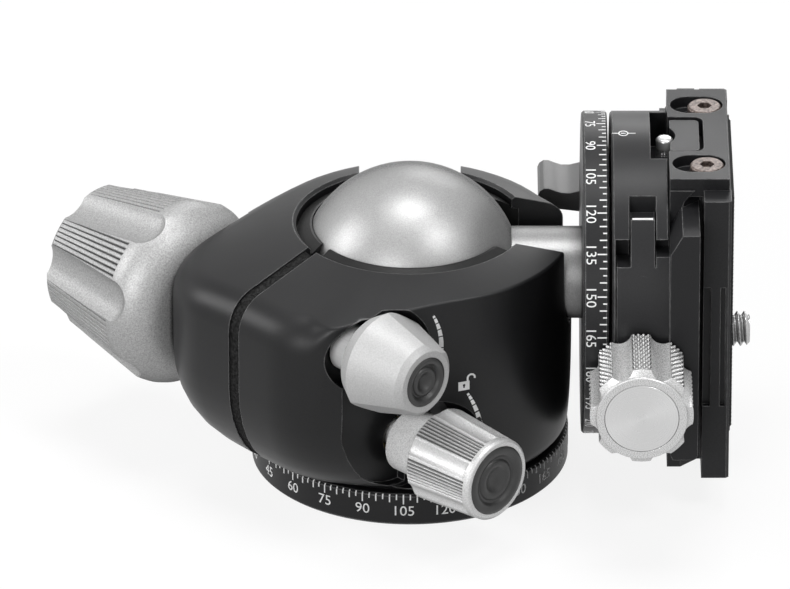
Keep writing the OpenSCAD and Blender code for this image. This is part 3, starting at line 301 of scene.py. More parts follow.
LOOKS = {
    # Black anodised metal
    "housing": anodised("housing_black", BLACK, 0.39, gloss=0.27),
    "base_disc": anodised("base_black", BLACK),
    "scale_ring": anodised("ring_black", DARK),
    "clamp_body": anodised("clamp_black", DARK, 0.40),
    "moving_jaw": anodised("jaw_black", DARK),
    "camera_plate": anodised("plate_black", DARK),
    "end_block": anodised("block_black", DARK, grain=0.3, depth=0.012),
    "pan_lever": anodised("lever_grey", grey(0.10), shade=0.1, gloss=0.4),
    # Rubber, foam and polymer
    "plate_pad": rubber("pad_rubber", grey(0.02), 0.75),
    "friction_knob_insert": rubber("friction_rubber", RUBBER, 0.42, gloss=0.5),
    "lock_knob_insert": rubber("lock_rubber", RUBBER, 0.42, gloss=0.5),
    "slit_seal": foam("seal_foam", grey(0.007)),
    "ball_cup": rubber("cup_polymer", grey(0.010), 0.45, depth=0.004),
    "ball_seat": rubber("seat_polymer", (0.4, 0.38, 0.3), 0.5, depth=0.004),
    "base_washer": rubber("washer_polymer", POLYMER, 0.5, depth=0.004),
    "screw_collar": rubber("collar_polymer", POLYMER, 0.5, depth=0.004),
    # Blasted silver
    # Several looks below paint shade into their colour in grooves and hollows, and on the ball next to
    # the housing's opening.
    "ball": blasted("ball_silver", grey(0.37), 0.36, grain=0.2, depth=0.035, shade=0.16,
                    metallic=0.5, gloss=0.0).edged(0.0).hollows(3, 0.3),
    "large_knob": blasted("large_knob_silver", grey(0.41), 0.42, depth=0.05, shade=0.26,
                          metallic=0.4, gloss=0.0).edged(0.1).hollows(0.9, 0.1),
    "friction_knob": blasted("friction_knob_silver", grey(0.50), 0.5, depth=0.02, shade=0.1,
                             metallic=0.3, gloss=0.0).edged(0.3).hollows(0.8, 0.4),
    "lock_knob": blasted("lock_knob_silver", grey(0.66), 0.38, grain=0.2,
                         metallic=0.45, gloss=0.0).edged(0.2).hollows(0.9, 0.1),
    # The collar's colour is raised far above the other silver: painted light that lifts it out of the
    # shade of its pocket.
    "lock_screw": blasted("lock_collar_painted_light", grey(0.8), 0.48, metallic=0.15),
    "end_block_screws": blasted("screw_steel", (0.13, 0.105, 0.095), 0.34, grain=0.45,
                                depth=0.04, shade=0.7, metallic=0.5),
    # Turned metal
    "large_knob_cap": turned("cap_silver", SILVER, 0.42, KNOB_AXIS),
    # The collar's colour is raised far above the other silver: painted light that lifts it out of the
    # shade of its pocket.
    "friction_screw": turned("friction_collar_painted_light", grey(0.85), 0.45, KNOB_AXIS, metallic=0.2),
    # The knob and screws below also paint shade into their colour in knurl valleys and grooves.
    "clamp_knob": turned("clamp_knob_silver", BRIGHT, 0.28, Y_AXIS, metallic=0.45).hollows(0.7, 0.03),
    "clamp_knob_disc": spun("clamp_knob_face", BRIGHT, 0.3, (CLAMP_KNOB_X, 0, CLAMP_KNOB_Z)),
    "knob_washer": turned("washer_silver", SILVER, 0.4, Y_AXIS),
    "camera_screw": turned("camera_screw_steel", BRIGHT, 0.25, X_AXIS).hollows(0.8, 0.15),
    "stop_screw": turned("stop_steel", BRIGHT, 0.2, Z_AXIS, metallic=0.6).hollows(0.4, 0.2),
    "brake_cotter": turned("cotter_brass", (0.50, 0.38, 0.17), 0.35, KNOB_AXIS),
    "brake_drum": turned("drum_grey", INNER, 0.4, Z_AXIS),
    "keeper_ring": turned("keeper_grey", INNER, 0.4, Z_AXIS),
}
PLAIN_STEEL = turned("plain_steel", STEEL, 0.34, Z_AXIS)
PAINT = rubber("mark_white", grey(0.85), 0.6, grain=0.2, depth=0.002, shade=0.06)


def smooth(obj, angle=28):
    """Rounds the shading of faces that meet at less than this angle."""
    mesh = obj.data
    if mesh.has_custom_normals:
        bpy.context.view_layer.objects.active = obj
        bpy.ops.object.select_all(action="DESELECT")
        obj.select_set(True)
        bpy.ops.mesh.customdata_custom_splitnormals_clear()
    mesh.set_sharp_from_angle(angle=math.radians(angle))
    mesh.polygons.foreach_set("use_smooth", [True] * len(mesh.polygons))
    mesh.update()


def weld_group(angle):
    """A node tree that joins touching points and keeps an edge sharp only above this angle."""
    group = bpy.data.node_groups.new("weld_and_smooth", "GeometryNodeTree")
    group.interface.new_socket("Geometry", in_out="INPUT", socket_type="NodeSocketGeometry")
    group.interface.new_socket("Geometry", in_out="OUTPUT", socket_type="NodeSocketGeometry")
    start = group.nodes.new("NodeGroupInput")
    end = group.nodes.new("NodeGroupOutput")
    weld = group.nodes.new("GeometryNodeMergeByDistance")
    weld.inputs["Distance"].default_value = 0.001 * MM
    bend = group.nodes.new("GeometryNodeInputMeshEdgeAngle")
    sharp = group.nodes.new("FunctionNodeCompare")
    sharp.inputs["B"].default_value = math.radians(angle)
    faces = group.nodes.new("GeometryNodeSetShadeSmooth")
    edges = group.nodes.new("GeometryNodeSetShadeSmooth")
    edges.domain = "EDGE"
    edges.inputs["Shade Smooth"].default_value = False
    group.links.new(start.outputs[0], weld.inputs["Geometry"])
    group.links.new(weld.outputs[0], faces.inputs["Geometry"])
    group.links.new(faces.outputs[0], edges.inputs["Geometry"])
    group.links.new(bend.outputs["Unsigned Angle"], sharp.inputs["A"])
    group.links.new(sharp.outputs["Result"], edges.inputs["Selection"])
    group.links.new(edges.outputs[0], end.inputs[0])
    return group


weld = weld_group(26)
for node_name, obj in nodes.items():
    look = LOOKS.get(node_name, PLAIN_STEEL)
    obj.data.materials.clear()
    obj.data.materials.append(look.mat)
    smooth(obj)
    obj.modifiers.new("weld", "NODES").node_group = weld


# ---------- Pieces made here ----------

def piece(name, points, faces, look, body):
    """A mesh object from points in millimetres, riding on a body."""
    mesh = bpy.data.meshes.new(name)
    mesh.from_pydata([[c * MM for c in p] for p in points], [], faces)
    mesh.validate()
    mesh.update()
    obj = bpy.data.objects.new(name, mesh)
    bpy.context.scene.collection.objects.link(obj)
    mesh.materials.append(look.mat)
    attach(obj, body)
    return obj


def lathe(name, rows, radius, segments, place, look, body, angle=35):
    """A closed skin round the Z axis of place.

    Each row is a height and a radius, or None to take radius(turn, height).
    """
    points, faces = [], []
    for h, fixed in rows:
        for k in range(segments):
            turn = TURN * k / segments
            r = radius(turn, h) if fixed is None else fixed
            points.append(place @ Vector((r * math.cos(turn), r * math.sin(turn), h)))
    last = len(rows) - 1
    for j in range(last):
        for k in range(segments):
            m = (k + 1) % segments
            a, b = j * segments, (j + 1) * segments
            faces.append((a + k, a + m, b + m, b + k))
    faces.append(list(range(segments))[::-1])
    faces.append([last * segments + k for k in range(segments)])
    obj = piece(name, points, faces, look, body)
    smooth(obj, angle)
    return obj


def steps(low, high, count):
    return [low + (high - low) * k / count for k in range(count + 1)]


def groove(x, half):
    """One at a whole number, falling to zero at half a groove's width away."""
    return max(0.0, 1 - abs(x - round(x)) / half)


# Clamp knob: eight diamond-knurled lands between smooth flutes
KNOB_R, KNOB_LANDS, KNOB_LEN = 9.2, 8, 14.9
FLUTE_R, FLUTE_DEPTH = 2.3, 1.2
FLANGE_R, KNURL_END, CONE_END = 8.1, 13.7, 14.4
KNURL_TURNS, KNURL_PITCH, KNURL_DEPTH, KNURL_HALF = 64, 1.5, 0.4, 0.36
KNURL_MARGIN, CREASE = 0.3, 0.01
RECESS_R, RECESS_DEPTH, RIM_BEVEL, RECESS_BEVEL = 6.6, 0.85, 0.15, 0.05
KNOB_ROWS, CONE_ROWS, KNOB_SEGMENTS = 100, 4, 704


def clamp_knob_radius(turn, h):
    share = TURN / KNOB_LANDS
    off = share / 2 - abs((turn + share / 2) % share - share / 2)
    centre = KNOB_R - FLUTE_DEPTH + FLUTE_R
    reach = FLUTE_R ** 2 - (centre * math.sin(off)) ** 2
    flute = centre * math.cos(off) - math.sqrt(reach) if reach > 0 else KNOB_R
    down = min(1, max(0, (h - KNURL_END) / (CONE_END - KNURL_END)))
    cone = KNOB_R - (KNOB_R - FLANGE_R) * down
    if flute < KNOB_R - CREASE:
        return min(flute, cone)
    if h >= KNURL_END - KNURL_MARGIN:
        return cone
    u = turn * KNURL_TURNS / TURN
    w = h / KNURL_PITCH
    return KNOB_R - KNURL_DEPTH * max(groove(u + w, KNURL_HALF), groove(u - w, KNURL_HALF))


def clamp_knob():
    place = (Matrix.Translation((CLAMP_KNOB_X, CLAMP_KNOB_Y, CLAMP_KNOB_Z))
             @ Matrix.Rotation(math.radians(90), 4, "X"))
    heights = steps(0, KNURL_END, KNOB_ROWS) + steps(KNURL_END + 0.05, CONE_END, CONE_ROWS)
    rows = [(h, None) for h in heights]
    rows += [(CONE_END + 0.02, FLANGE_R), (KNOB_LEN - RIM_BEVEL, FLANGE_R),
             (KNOB_LEN, FLANGE_R - RIM_BEVEL), (KNOB_LEN, RECESS_R + RECESS_BEVEL),
             (KNOB_LEN - RECESS_BEVEL, RECESS_R), (KNOB_LEN - RECESS_DEPTH, RECESS_R)]
    obj = lathe("clamp_knob_knurled", rows, clamp_knob_radius, KNOB_SEGMENTS, place,
                LOOKS["clamp_knob"], "clamp_knob_body", 24)
    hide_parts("clamp_knob")


clamp_knob()


def thread_radius(major, pitch, depth):
    """Radius of a screw thread with narrow flats at crest and root."""
    flat, flank = 0.12, 0.7

    def radius(turn, h):
        place = (h / pitch - turn / TURN) % 1
        slope = min(1, max(0, (abs(place - 0.5) * 2 - flat) / flank))
        return major - depth * slope
    return radius


def joined(name, parts, look, body, angle=30):
    """One mesh out of several closed ones, each a list of points and a list of faces."""
    points, faces = [], []
    for some_points, some_faces in parts:
        start = len(points)
        points += some_points
        faces += [[start + k for k in face] for face in some_faces]
    obj = piece(name, points, faces, look, body)
    smooth(obj, angle)
    return obj


def mesh_of(node):
    """A node's points in millimetres, and its faces."""
    mesh = nodes[node].data
    return [v.co / MM for v in mesh.vertices], [list(p.vertices) for p in mesh.polygons]


def taken_out(obj):
    """Points in millimetres and faces of a made piece, which is then removed."""
    part = [v.co / MM for v in obj.data.vertices], [list(p.vertices) for p in obj.data.polygons]
    bpy.data.objects.remove(obj)
    return part


# Large knob: the CAD knob turned by half a land about its own axis
LARGE_Q, LARGE_Z, LARGE_FLUTES = -25.5, 29.7, 7


def large_knob():
    origin = Vector((LARGE_Q * HALF_ROOT, LARGE_Q * HALF_ROOT, LARGE_Z))
    half_land = Matrix.Rotation(math.pi / LARGE_FLUTES, 4, Vector(KNOB_AXIS))
    turn = Matrix.Translation(origin) @ half_land @ Matrix.Translation(-origin)
    points, faces = mesh_of("large_knob")
    obj = piece("large_knob_turned", [turn @ p for p in points], faces, LOOKS["large_knob"],
                "large_knob_body")
    smooth(obj)
    obj.modifiers.new("weld", "NODES").node_group = weld
    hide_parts("large_knob")


large_knob()

# Camera screw: the CAD head and shank, with a cut thread in place of its plain end
SCREW_Z, SCREW_R, SCREW_PITCH, THREAD_DEPTH = 24.9, 3.175, 1.27, 0.72
THREAD_X0, THREAD_X1, THREAD_TAPER, THREAD_LEAD = 57.82, 61.25, 0.7, 0.25
CORE_GAP, CORE_INSET, THREAD_ROWS, THREAD_SEGMENTS = 0.05, 0.2, 68, 96


def camera_screw():
    points, faces = mesh_of("camera_screw")
    core = SCREW_R - THREAD_DEPTH - CORE_GAP
    for p in points:
        away = math.hypot(p.y, p.z - SCREW_Z)
        if p.x > THREAD_X0 - CORE_INSET and away > core:
            p.y *= core / away
            p.z = SCREW_Z + (p.z - SCREW_Z) * core / away
            p.x = min(p.x, THREAD_X1 - CORE_INSET)
    length = THREAD_X1 - THREAD_X0
    thread = thread_radius(SCREW_R, SCREW_PITCH, THREAD_DEPTH)

    def radius(turn, h):
        ends = min(h + THREAD_LEAD, length - h) / THREAD_TAPER
        return min(thread(turn, h), SCREW_R - THREAD_DEPTH + THREAD_DEPTH * min(1, ends))

    place = (Matrix.Translation((THREAD_X0, 0, SCREW_Z))
             @ Matrix.Rotation(math.radians(90), 4, "Y"))
    rows = [(h, None) for h in steps(0, length, THREAD_ROWS)]
    sleeve = lathe("thread", rows, radius, THREAD_SEGMENTS, place,
                   LOOKS["camera_screw"], "camera_screw_body")
    part = taken_out(sleeve)
    obj = joined("camera_screw_threaded", [(points, faces), part], LOOKS["camera_screw"],
                 "camera_screw_body", 35)
    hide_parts("camera_screw")


camera_screw()

# Stop screw: a bright domed pin with a knurl of fine rings below its head
STOP_X, STOP_R, STOP_Z0, STOP_TOP = 45.5, 1.55, 50, 63.6
STOP_HEAD_H, STOP_DOME_H, STOP_FLAT = 2.2, 0.7, 0.45
STOP_RINGS, STOP_TEETH, STOP_CUT_DEPTH, STOP_CUT_HALF = 0.5, 18, 0.14, 0.35


def stop_radius(turn, h):
    top = STOP_TOP - STOP_Z0
    if h > top - STOP_DOME_H:
        share = (h - top + STOP_DOME_H) / STOP_DOME_H
        return STOP_R * (STOP_FLAT + (1 - STOP_FLAT) * math.sqrt(max(0, 1 - share ** 2)))
    if h > top - STOP_HEAD_H:
        return STOP_R
    ring = groove(h / STOP_RINGS, STOP_CUT_HALF)
    tooth = groove(turn * STOP_TEETH / TURN, STOP_CUT_HALF)
    return STOP_R - STOP_CUT_DEPTH * max(ring, tooth)


def stop_screw():
    top = STOP_TOP - STOP_Z0
    dome = top - STOP_DOME_H
    heights = steps(0, dome, 129) + steps(dome, top, 10)[1:]
    obj = lathe("stop_screw_knurled", [(h, None) for h in heights], stop_radius, 108,
                Matrix.Translation((STOP_X, 0, STOP_Z0)), LOOKS["stop_screw"], "clamp",
                30)
    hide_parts("stop_screw")


stop_screw()

# Rubber inserts in the knobs' ends: a rounded rim, a groove, a ring and a dish.
# A knob's face is its root plus its length along the knobs' axis; rings are shares of the radius
# with heights in millimetres.
FRICTION_Q, FRICTION_Z, FRICTION_FACE, FRICTION_INSERT_R = -28.5, 36.7, 18.6 + 13.8, 4.6
LOCK_Q, LOCK_Z, LOCK_FACE, LOCK_INSERT_R = -18.5, 16.2, 25.8 + 14.5, 6.4
INSERT_RINGS = (
    (1.0, -2.1), (1.0, 0.0), (0.97, 0.14), (0.90, 0.22), (0.80, 0.20), (0.74, 0.0),
    (0.70, -0.35), (0.66, -0.5), (0.61, -0.45), (0.57, -0.15), (0.50, 0.0), (0.42, -0.08),
    (0.36, -0.35), (0.27, -0.75), (0.17, -1.0), (0.08, -1.08), (0.03, -1.1))


def knob_insert(name, node, body, radius, q, z, face_l):
    """A lathe-turned insert whose face stands at face_l along the small knobs' axis."""
    origin = Vector(((q + face_l) * HALF_ROOT, (q - face_l) * HALF_ROOT, z))
    outward = Vector(KNOB_AXIS).to_track_quat("Z", "Y").to_matrix().to_4x4()
    place = Matrix.Translation(origin) @ outward
    rows = [(h, r * radius) for r, h in INSERT_RINGS]
    obj = lathe(name, rows, None, 72, place, LOOKS[node], body, 40)
    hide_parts(node)


knob_insert("friction_insert_ringed", "friction_knob_insert", "friction_knob_body",
            FRICTION_INSERT_R, FRICTION_Q, FRICTION_Z, FRICTION_FACE)
knob_insert("lock_insert_ringed", "lock_knob_insert", "lock_knob_body",
            LOCK_INSERT_R, LOCK_Q, LOCK_Z, LOCK_FACE)

# Plate pad: small rubber pyramids on a thin sheet
PAD_X, PAD_T, PAD_SHEET = 57.15, 0.6, 0.3
PAD_W, PAD_Z0, PAD_Z1 = 32, 12.6, 60
PYRAMID, PYRAMID_EASE, PYRAMID_TIP, PYRAMID_SINK = 0.8, 0.02, 0.2, 0.03
PAD_MARGIN, PAD_SLOT_R, SLOT_KEEP = 0.3, 4.1, 0.7
SQUARE = ((-1, -1), (1, -1), (1, 1), (-1, 1))


def pyramid(y, z):
    """Points and faces of one blunt pyramid on the sheet."""
    x0, x1 = PAD_X + PAD_SHEET - PYRAMID_SINK, PAD_X + PAD_T
    half = PYRAMID / 2 - PYRAMID_EASE
    tip = half * PYRAMID_TIP
    corners = [Vector((x0, y + a * half, z + b * half)) for a, b in SQUARE]
    corners += [Vector((x1, y + a * tip, z + b * tip)) for a, b in SQUARE]
    sides = [[k, (k + 1) % 4, 4 + (k + 1) % 4, 4 + k] for k in range(4)]
    return corners, [[3, 2, 1, 0], [4, 5, 6, 7]] + sides


def plate_pad():
    points, faces = mesh_of("plate_pad")
    for p in points:
        if p.x > PAD_X + PAD_T / 2:
            p.x = PAD_X + PAD_SHEET
    slot_z = [p.z for p in points if abs(p.y) < 1 and PAD_Z0 + 2 < p.z < PAD_Z1 - 2]
    slot_low, slot_high = min(slot_z) + PAD_SLOT_R, max(slot_z) - PAD_SLOT_R
    parts = [(points, faces)]
    columns = int((PAD_W - 2 * PAD_MARGIN) / PYRAMID)
    rows = int((PAD_Z1 - PAD_Z0 - 2 * PAD_MARGIN) / PYRAMID)
    for i in range(columns):
        y = (i - (columns - 1) / 2) * PYRAMID
        for j in range(rows):
            z = (PAD_Z0 + PAD_Z1) / 2 + (j - (rows - 1) / 2) * PYRAMID
            nearest = min(max(z, slot_low), slot_high)
            if math.hypot(y, z - nearest) >= PAD_SLOT_R + PYRAMID * SLOT_KEEP:
                parts.append(pyramid(y, z))
    obj = joined("plate_pad_pyramids", parts, LOOKS["plate_pad"], "plate", 20)
    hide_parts("plate_pad")


plate_pad()


# ---------- Scales and printed marks ----------

PAINT_LIFT, PAINT_SINK = 0.03, 0.01
BAR_W = 0.24
DIGIT_STRETCH = 1.02
TICK_STEP, MIDDLE_STEP, NUMBER_STEP = 2.5, 5, 15


class Print:
    """Thin raised paint: flat shapes in millimetres, laid on a surface by a function of u, v, lift."""

    def __init__(self):
        self.parts = []

    def lay(self, points, faces, surface):
        """Gives a flat shape a little thickness and lays it on the surface."""
        count = len(points)
        solid = [surface(u, v, lift) for lift in (-PAINT_SINK, PAINT_LIFT) for u, v in points]
        sides = {}
        for face in faces:
            for a, b in zip(face, face[1:] + face[:1]):
                sides[(a, b)] = True
        walls = [[a, b, b + count, a + count] for a, b in sides if (b, a) not in sides]
        tops = [[k + count for k in face] for face in faces]
        bottoms = [face[::-1] for face in faces]
        self.parts.append((solid, tops + bottoms + walls))

    def bar(self, u, v0, v1, surface, width=BAR_W):
        half = width / 2
        rows = steps(v0, v1, 6)
        points = [(u + side, v) for v in rows for side in (-half, half)]
        faces = [[2 * k, 2 * k + 1, 2 * k + 3, 2 * k + 2] for k in range(len(rows) - 1)]
        self.lay(points, faces, surface)

    def band(self, centre, radius, width, start, end, surface, count=12, end_width=None):
        """Part of a ring between two angles in degrees, whose width may change."""
        points = []
        for k in range(count + 1):
            share = k / count
            angle = math.radians(start + (end - start) * share)
            half = (width + ((end_width or width) - width) * share) / 2
            for r in (radius - half, radius + half):
                points.append((centre[0] + r * math.cos(angle), centre[1] + r * math.sin(angle)))
        order = 1 if end > start else -1
        faces = [[2 * k, 2 * k + 1, 2 * k + 3, 2 * k + 2][::order] for k in range(count)]
        self.lay(points, faces, surface)

    def word(self, text, height, feet, surface):
        """Digits of a plain face, centred on u = 0 with their feet at this v."""
        points, faces = flat_word(text)
        self.lay([(x * height * DIGIT_STRETCH, feet + y * height) for x, y in points], faces, surface)

    def finish(self, name, body):
        return joined(name, self.parts, PAINT, body, 30)


words = {}


def flat_word(text):
    """The built-in face's outline of some digits as flat points and faces, one unit tall."""
    if text not in words:
        curve = bpy.data.curves.new("digits", "FONT")
        curve.body = text
        curve.align_x = "CENTER"
        curve.resolution_u = 3
        obj = bpy.data.objects.new("digits", curve)
        mesh = obj.to_mesh()
        low = min(v.co.y for v in mesh.vertices)
        high = max(v.co.y for v in mesh.vertices)
        points = [(v.co.x / (high - low), (v.co.y - low) / (high - low)) for v in mesh.vertices]
        faces = []
        for p in mesh.polygons:
            ring = list(p.vertices)
            faces.append(ring if p.normal.z > 0 else ring[::-1])
        obj.to_mesh_clear()
        bpy.data.objects.remove(obj)
        bpy.data.curves.remove(curve)
        words[text] = points, faces
    return words[text]


def scale(name, body, surface_at, feet, height, tick_end, lengths):
    """Ticks every 2.5 degrees and numbers every 15 degrees, all the way round."""
    long, medium, short = lengths
    marks = Print()
    for k in range(int(360 / TICK_STEP)):
        number = k * TICK_STEP
        surface = surface_at(number)
        numbered = number % NUMBER_STEP == 0
        length = long if numbered else medium if number % MIDDLE_STEP == 0 else short
        marks.bar(0, tick_end - length, tick_end, surface)
        if numbered:
            marks.word(str(int(number)), height, feet, surface)
    return marks.finish(name, body)


# Where the scales' zeros stand, in degrees
BASE_R, BASE_ZERO, BASE_BEVEL_Z = 28.6, 107.4, 5.8
RING_R, RING_ZERO = 29.0, 168.5


def base_surface(number):
    """The base's rim at a number of its scale: u runs round it, v upward, and in along the bevel."""
    centre = math.radians(number - BASE_ZERO)

    def surface(u, v, lift):
        a, r = centre + u / BASE_R, BASE_R + lift - max(0, v - BASE_BEVEL_Z)
        return Vector((r * math.sin(a), -r * math.cos(a), v))
    return surface


def ring_surface_at(theta):
    """The cylinder about the clamp's axis: u runs down the front, v along X.

    Paint at the very top is kept level with the ring, inside the CAD's box.
    """
    centre = math.radians(theta)

    def surface(u, v, lift):
        a, r = centre - u / RING_R, RING_R + lift
        return Vector((v, -r * math.cos(a), BALL_Z + min(r * math.sin(a), RING_R)))
    return surface


scale("base_scale", "base", base_surface, 2.0, 1.93, 6.1, (1.8, 1.45, 0.95))
scale("ring_scale", "ball_body", lambda number: ring_surface_at(RING_ZERO - number),
      31.3, 1.8, 35.0, (1.7, 1.3, 0.7))

# Index mark on the clamp: a line through a ring with a short bar in it
INDEX_THETA, INDEX_X0, INDEX_X1, INDEX_X, INDEX_R = 86, 36.05, 40.3, 38.1, 0.8
INDEX_RING_W, INDEX_LINE_W, INDEX_BAR_W, INDEX_BAR = 0.22, 0.2, 0.24, 0.42


def clamp_index():
    marks = Print()
    surface = ring_surface_at(INDEX_THETA)
    marks.band((0, INDEX_X), INDEX_R, INDEX_RING_W, 0, 360, surface, 36)
    marks.bar(0, INDEX_X0, INDEX_X - INDEX_R, surface, INDEX_LINE_W)
    marks.bar(0, INDEX_X + INDEX_R, INDEX_X1, surface, INDEX_LINE_W)
    marks.bar(0, INDEX_X - INDEX_BAR, INDEX_X + INDEX_BAR, surface, INDEX_BAR_W)
    marks.finish("clamp_index", "clamp")


clamp_index()

# Line across the tongue's top edge
TONGUE_THETA, TONGUE_X0, TONGUE_X1, TONGUE_LINE_W = 46.3, 39.5, 43.2, 0.34


def tongue_line():
    marks = Print()
    marks.bar(0, TONGUE_X0, TONGUE_X1, ring_surface_at(TONGUE_THETA), TONGUE_LINE_W)
    marks.finish("tongue_line", "jaw")


tongue_line()

# Marks on the housing, drawn on an upright plane and pressed onto the wall.
# A fan is a centre, a radius and its dashes' start and end angles.
PLANE_CORNER = Vector((9.546, -27.5, 0))
PLANE_ALONG = Vector((0.9447, 0.3281, 0))
PLANE_OUT = Vector((0.3289, -0.9443, 0))
PLANE_AWAY = 30
DASH_W, DASH_GROWTH = 0.42, 0.09
FRICTION_FAN = ((-17.5, 36.7), 13.25,
                ((27.3, 25.3), (24.3, 20.3), (19.3, 14.5), (13.5, 8.0), (7.0, -1.8), (-2.8, -12)))
LOCK_FAN = ((-18.34, 15.18), 22.0,
            ((29.7, 28.5), (27.9, 25.8), (25.2, 22.7), (22.0, 18.6), (17.8, 13.6), (12.8, 8.2)))
KEYHOLE_U, KEYHOLE_V, KEYHOLE_R, KEY_SLOT_HALF, KEY_SLOT_DROP = 0.08, 27.85, 0.25, 0.15, 0.55
LOCK_LEFT, LOCK_RIGHT, LOCK_LOW, LOCK_HIGH = -1.08, 1.04, -1.0, 0.76
SHACKLE_U, SHACKLE_V, SHACKLE_R, SHACKLE_W = 1.44, 29.13, 0.68, 0.36


def housing_surface():
    skin = BVHTree.FromObject(nodes["housing"], bpy.context.evaluated_depsgraph_get())

    def surface(u, v, lift):
        start = PLANE_CORNER + PLANE_ALONG * u + Vector((0, 0, v)) + PLANE_OUT * PLANE_AWAY
        hit = skin.ray_cast(start * MM, -PLANE_OUT)
        return hit[0] / MM + hit[1] * lift
    return surface


def padlock(marks, surface):
    """An open padlock: a body round its keyhole, and a shackle that stands open to the right."""
    corners = [math.atan2(y, x) for x in (LOCK_LEFT, LOCK_RIGHT) for y in (LOCK_LOW, LOCK_HIGH)]
    angles = sorted(steps(-math.pi, math.pi, 36)[1:] + corners)
    points = []
    for angle in angles:
        du, dv = math.cos(angle), math.sin(angle)
        across = (LOCK_RIGHT if du > 0 else LOCK_LEFT) / (du or 1e-9)
        upward = (LOCK_HIGH if dv > 0 else LOCK_LOW) / (dv or 1e-9)
        slot = min(KEY_SLOT_HALF / max(abs(du), 1e-9), KEY_SLOT_DROP / max(-dv, 1e-9)) if dv < 0 else 0
        for reach in (max(KEYHOLE_R, slot), min(across, abs(upward))):
            points.append((KEYHOLE_U + reach * du, KEYHOLE_V + reach * dv))
    count = len(angles)
    faces = [[2 * k, 2 * k + 1, (2 * k + 3) % (2 * count), (2 * k + 2) % (2 * count)]
             for k in range(count)]
    marks.lay(points, faces, surface)
    marks.bar(SHACKLE_U - SHACKLE_R, KEYHOLE_V + LOCK_HIGH - 0.05, SHACKLE_V, surface, SHACKLE_W)
    marks.band((SHACKLE_U, SHACKLE_V), SHACKLE_R, SHACKLE_W, -15, 180, surface, 16)


def housing_marks():
    surface = housing_surface()
    marks = Print()
    for centre, radius, dashes in (FRICTION_FAN, LOCK_FAN):
        for k, (start, end) in enumerate(dashes):
            width = DASH_W + DASH_GROWTH * k
            marks.band(centre, radius, width, start, end, surface, 6, width + DASH_GROWTH)
    padlock(marks, surface)
    marks.finish("housing_marks", "housing_body")


housing_marks()


# ---------- Camera, floor and light ----------

TARGET, ELEVATION, DISTANCE = Vector((-2.7, 0, 31.8)) * MM, math.radians(27.5), 2.3
LENS, SENSOR, CLIP_NEAR, CLIP_FAR = 582, 36, 0.05, 60
# The room's tones by height, where unseen rays meet it
ROOM_TONES = ((0.0, 0.9), (0.25, 0.30), (1.0, 0.35))
ROOM_STRENGTH = 0.35
FLOOR_HALF, FLOOR_GLOW, PAPER_UNSEEN, PAPER_SEEN = 8.0, 0.85, 0.28, 0.9
LAMP_AIM = Vector((0, 0, 0.03))
# Each lamp's name, place and size in metres, and power in watts
LAMPS = (
    ("left_softbox", (-1.9, 0.1, 1.05), (0.8, 1.0), 18),
    ("top_softbox", (0.0, 0.15, 1.8), (0.8, 0.6), 15),
    ("right_softbox", (0.9, -0.65, 1.6), (0.6, 0.6), 12),
    ("front_softbox", (-0.7, -1.7, 0.7), (0.9, 0.9), 19),
    ("back_softbox", (0.35, 1.65, 0.85), (0.9, 0.6), 7),
)


def placed(name, data, place, direction):
    """An object in the scene that looks along a direction."""
    obj = bpy.data.objects.new(name, data)
    bpy.context.scene.collection.objects.link(obj)
    obj.location = place
    obj.rotation_mode = "QUATERNION"
    obj.rotation_quaternion = direction.to_track_quat("-Z", "Y")
    return obj


def camera():
    back = Vector((0, -math.cos(ELEVATION), math.sin(ELEVATION)))
    data = bpy.data.cameras.new("camera")
    data.sensor_width, data.lens = SENSOR, LENS
    data.clip_start, data.clip_end = CLIP_NEAR, CLIP_FAR
    bpy.context.scene.camera = placed("camera", data, TARGET + back * DISTANCE, -back)


def node(tree, kind, **values):
    new = tree.nodes.new(kind)
    for key, value in values.items():
        setattr(new, key, value)
    return new


def seen_rays(tree):
    """One for rays that show a surface: camera, mirrored and see-through ones."""
    path = node(tree, "ShaderNodeLightPath")
    level = path.outputs["Is Camera Ray"]
    for kind in ("Is Glossy Ray", "Is Transmission Ray"):
        either = node(tree, "ShaderNodeMath", operation="MAXIMUM")
        tree.links.new(level, either.inputs[0])
        tree.links.new(path.outputs[kind], either.inputs[1])
        level = either.outputs[0]
    return level


def mixed(tree, share, hidden, shown, output):
    """Shows one shader by a share of the rays, and the other by the rest."""
    mix = node(tree, "ShaderNodeMixShader")
    tree.links.new(share, mix.inputs["Fac"])
    tree.links.new(hidden.outputs[0], mix.inputs[1])
    tree.links.new(shown.outputs[0], mix.inputs[2])
    tree.links.new(mix.outputs[0], node(tree, output).inputs["Surface"])


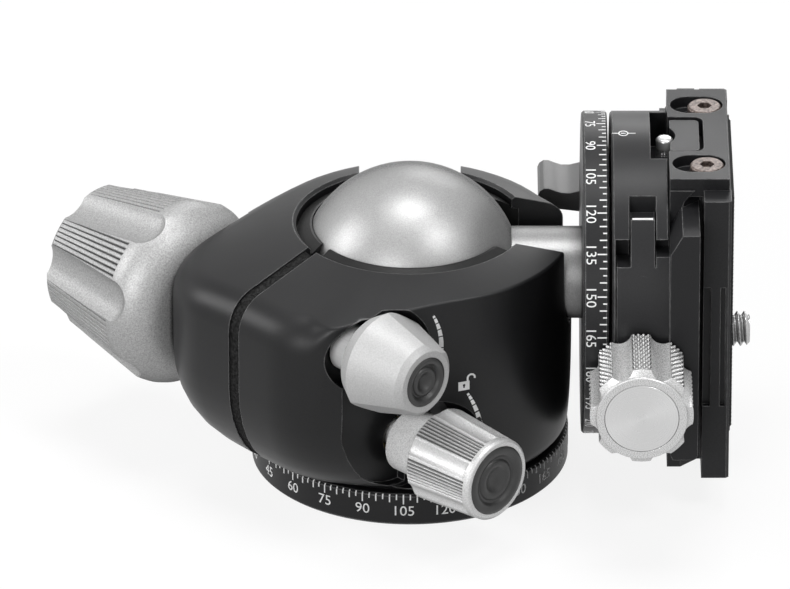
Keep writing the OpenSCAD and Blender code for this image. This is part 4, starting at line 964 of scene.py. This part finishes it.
def world():
    """White where it is seen, and a dim room that lights softly where it isn't."""
    studio = bpy.data.worlds.new("studio")
    bpy.context.scene.world = studio
    studio.use_nodes = True
    tree = studio.node_tree
    tree.nodes.clear()
    white = node(tree, "ShaderNodeBackground")
    white.inputs["Color"].default_value = (1, 1, 1, 1)
    room = node(tree, "ShaderNodeBackground")
    room.inputs["Strength"].default_value = ROOM_STRENGTH
    split = node(tree, "ShaderNodeSeparateXYZ")
    tree.links.new(node(tree, "ShaderNodeTexCoord").outputs["Generated"], split.inputs[0])
    ramp = node(tree, "ShaderNodeValToRGB")
    stops = ramp.color_ramp.elements
    for k, (height, tone) in enumerate(ROOM_TONES):
        stop = stops[k] if k < 2 else stops.new(height)
        stop.position, stop.color = height, (*grey(tone), 1)
    tree.links.new(split.outputs["Z"], ramp.inputs["Fac"])
    tree.links.new(ramp.outputs["Color"], room.inputs["Color"])
    mixed(tree, seen_rays(tree), room, white, "ShaderNodeOutputWorld")


def floor():
    """Pale paper that is seen nearly white and still keeps the object's shadow."""
    mesh = bpy.data.meshes.new("floor")
    mesh.from_pydata([(a * FLOOR_HALF, b * FLOOR_HALF, 0) for a, b in SQUARE], [], [(0, 1, 2, 3)])
    obj = bpy.data.objects.new("floor", mesh)
    bpy.context.scene.collection.objects.link(obj)
    mat = bpy.data.materials.new("floor_white")
    mat.use_nodes = True
    tree = mat.node_tree
    tree.nodes.clear()
    seen = seen_rays(tree)
    tone = node(tree, "ShaderNodeMapRange")
    tone.inputs["To Min"].default_value = PAPER_UNSEEN
    tone.inputs["To Max"].default_value = PAPER_SEEN
    tree.links.new(seen, tone.inputs["Value"])
    paper = node(tree, "ShaderNodeBsdfDiffuse")
    tree.links.new(tone.outputs["Result"], paper.inputs["Color"])
    glow = node(tree, "ShaderNodeEmission")
    glow.inputs["Color"].default_value = (1, 1, 1, 1)
    share = node(tree, "ShaderNodeMath", operation="MULTIPLY")
    share.inputs[1].default_value = FLOOR_GLOW
    tree.links.new(seen, share.inputs[0])
    mixed(tree, share.outputs[0], paper, glow, "ShaderNodeOutputMaterial")
    mesh.materials.append(mat)


def lamps():
    for name, place, size, power in LAMPS:
        light = bpy.data.lights.new(name, "AREA")
        light.shape = "RECTANGLE"
        light.size, light.size_y = size
        light.energy = power
        placed(name, light, place, LAMP_AIM - Vector(place))


bpy.context.scene.view_settings.view_transform = "Standard"
camera()
world()
floor()
lamps()
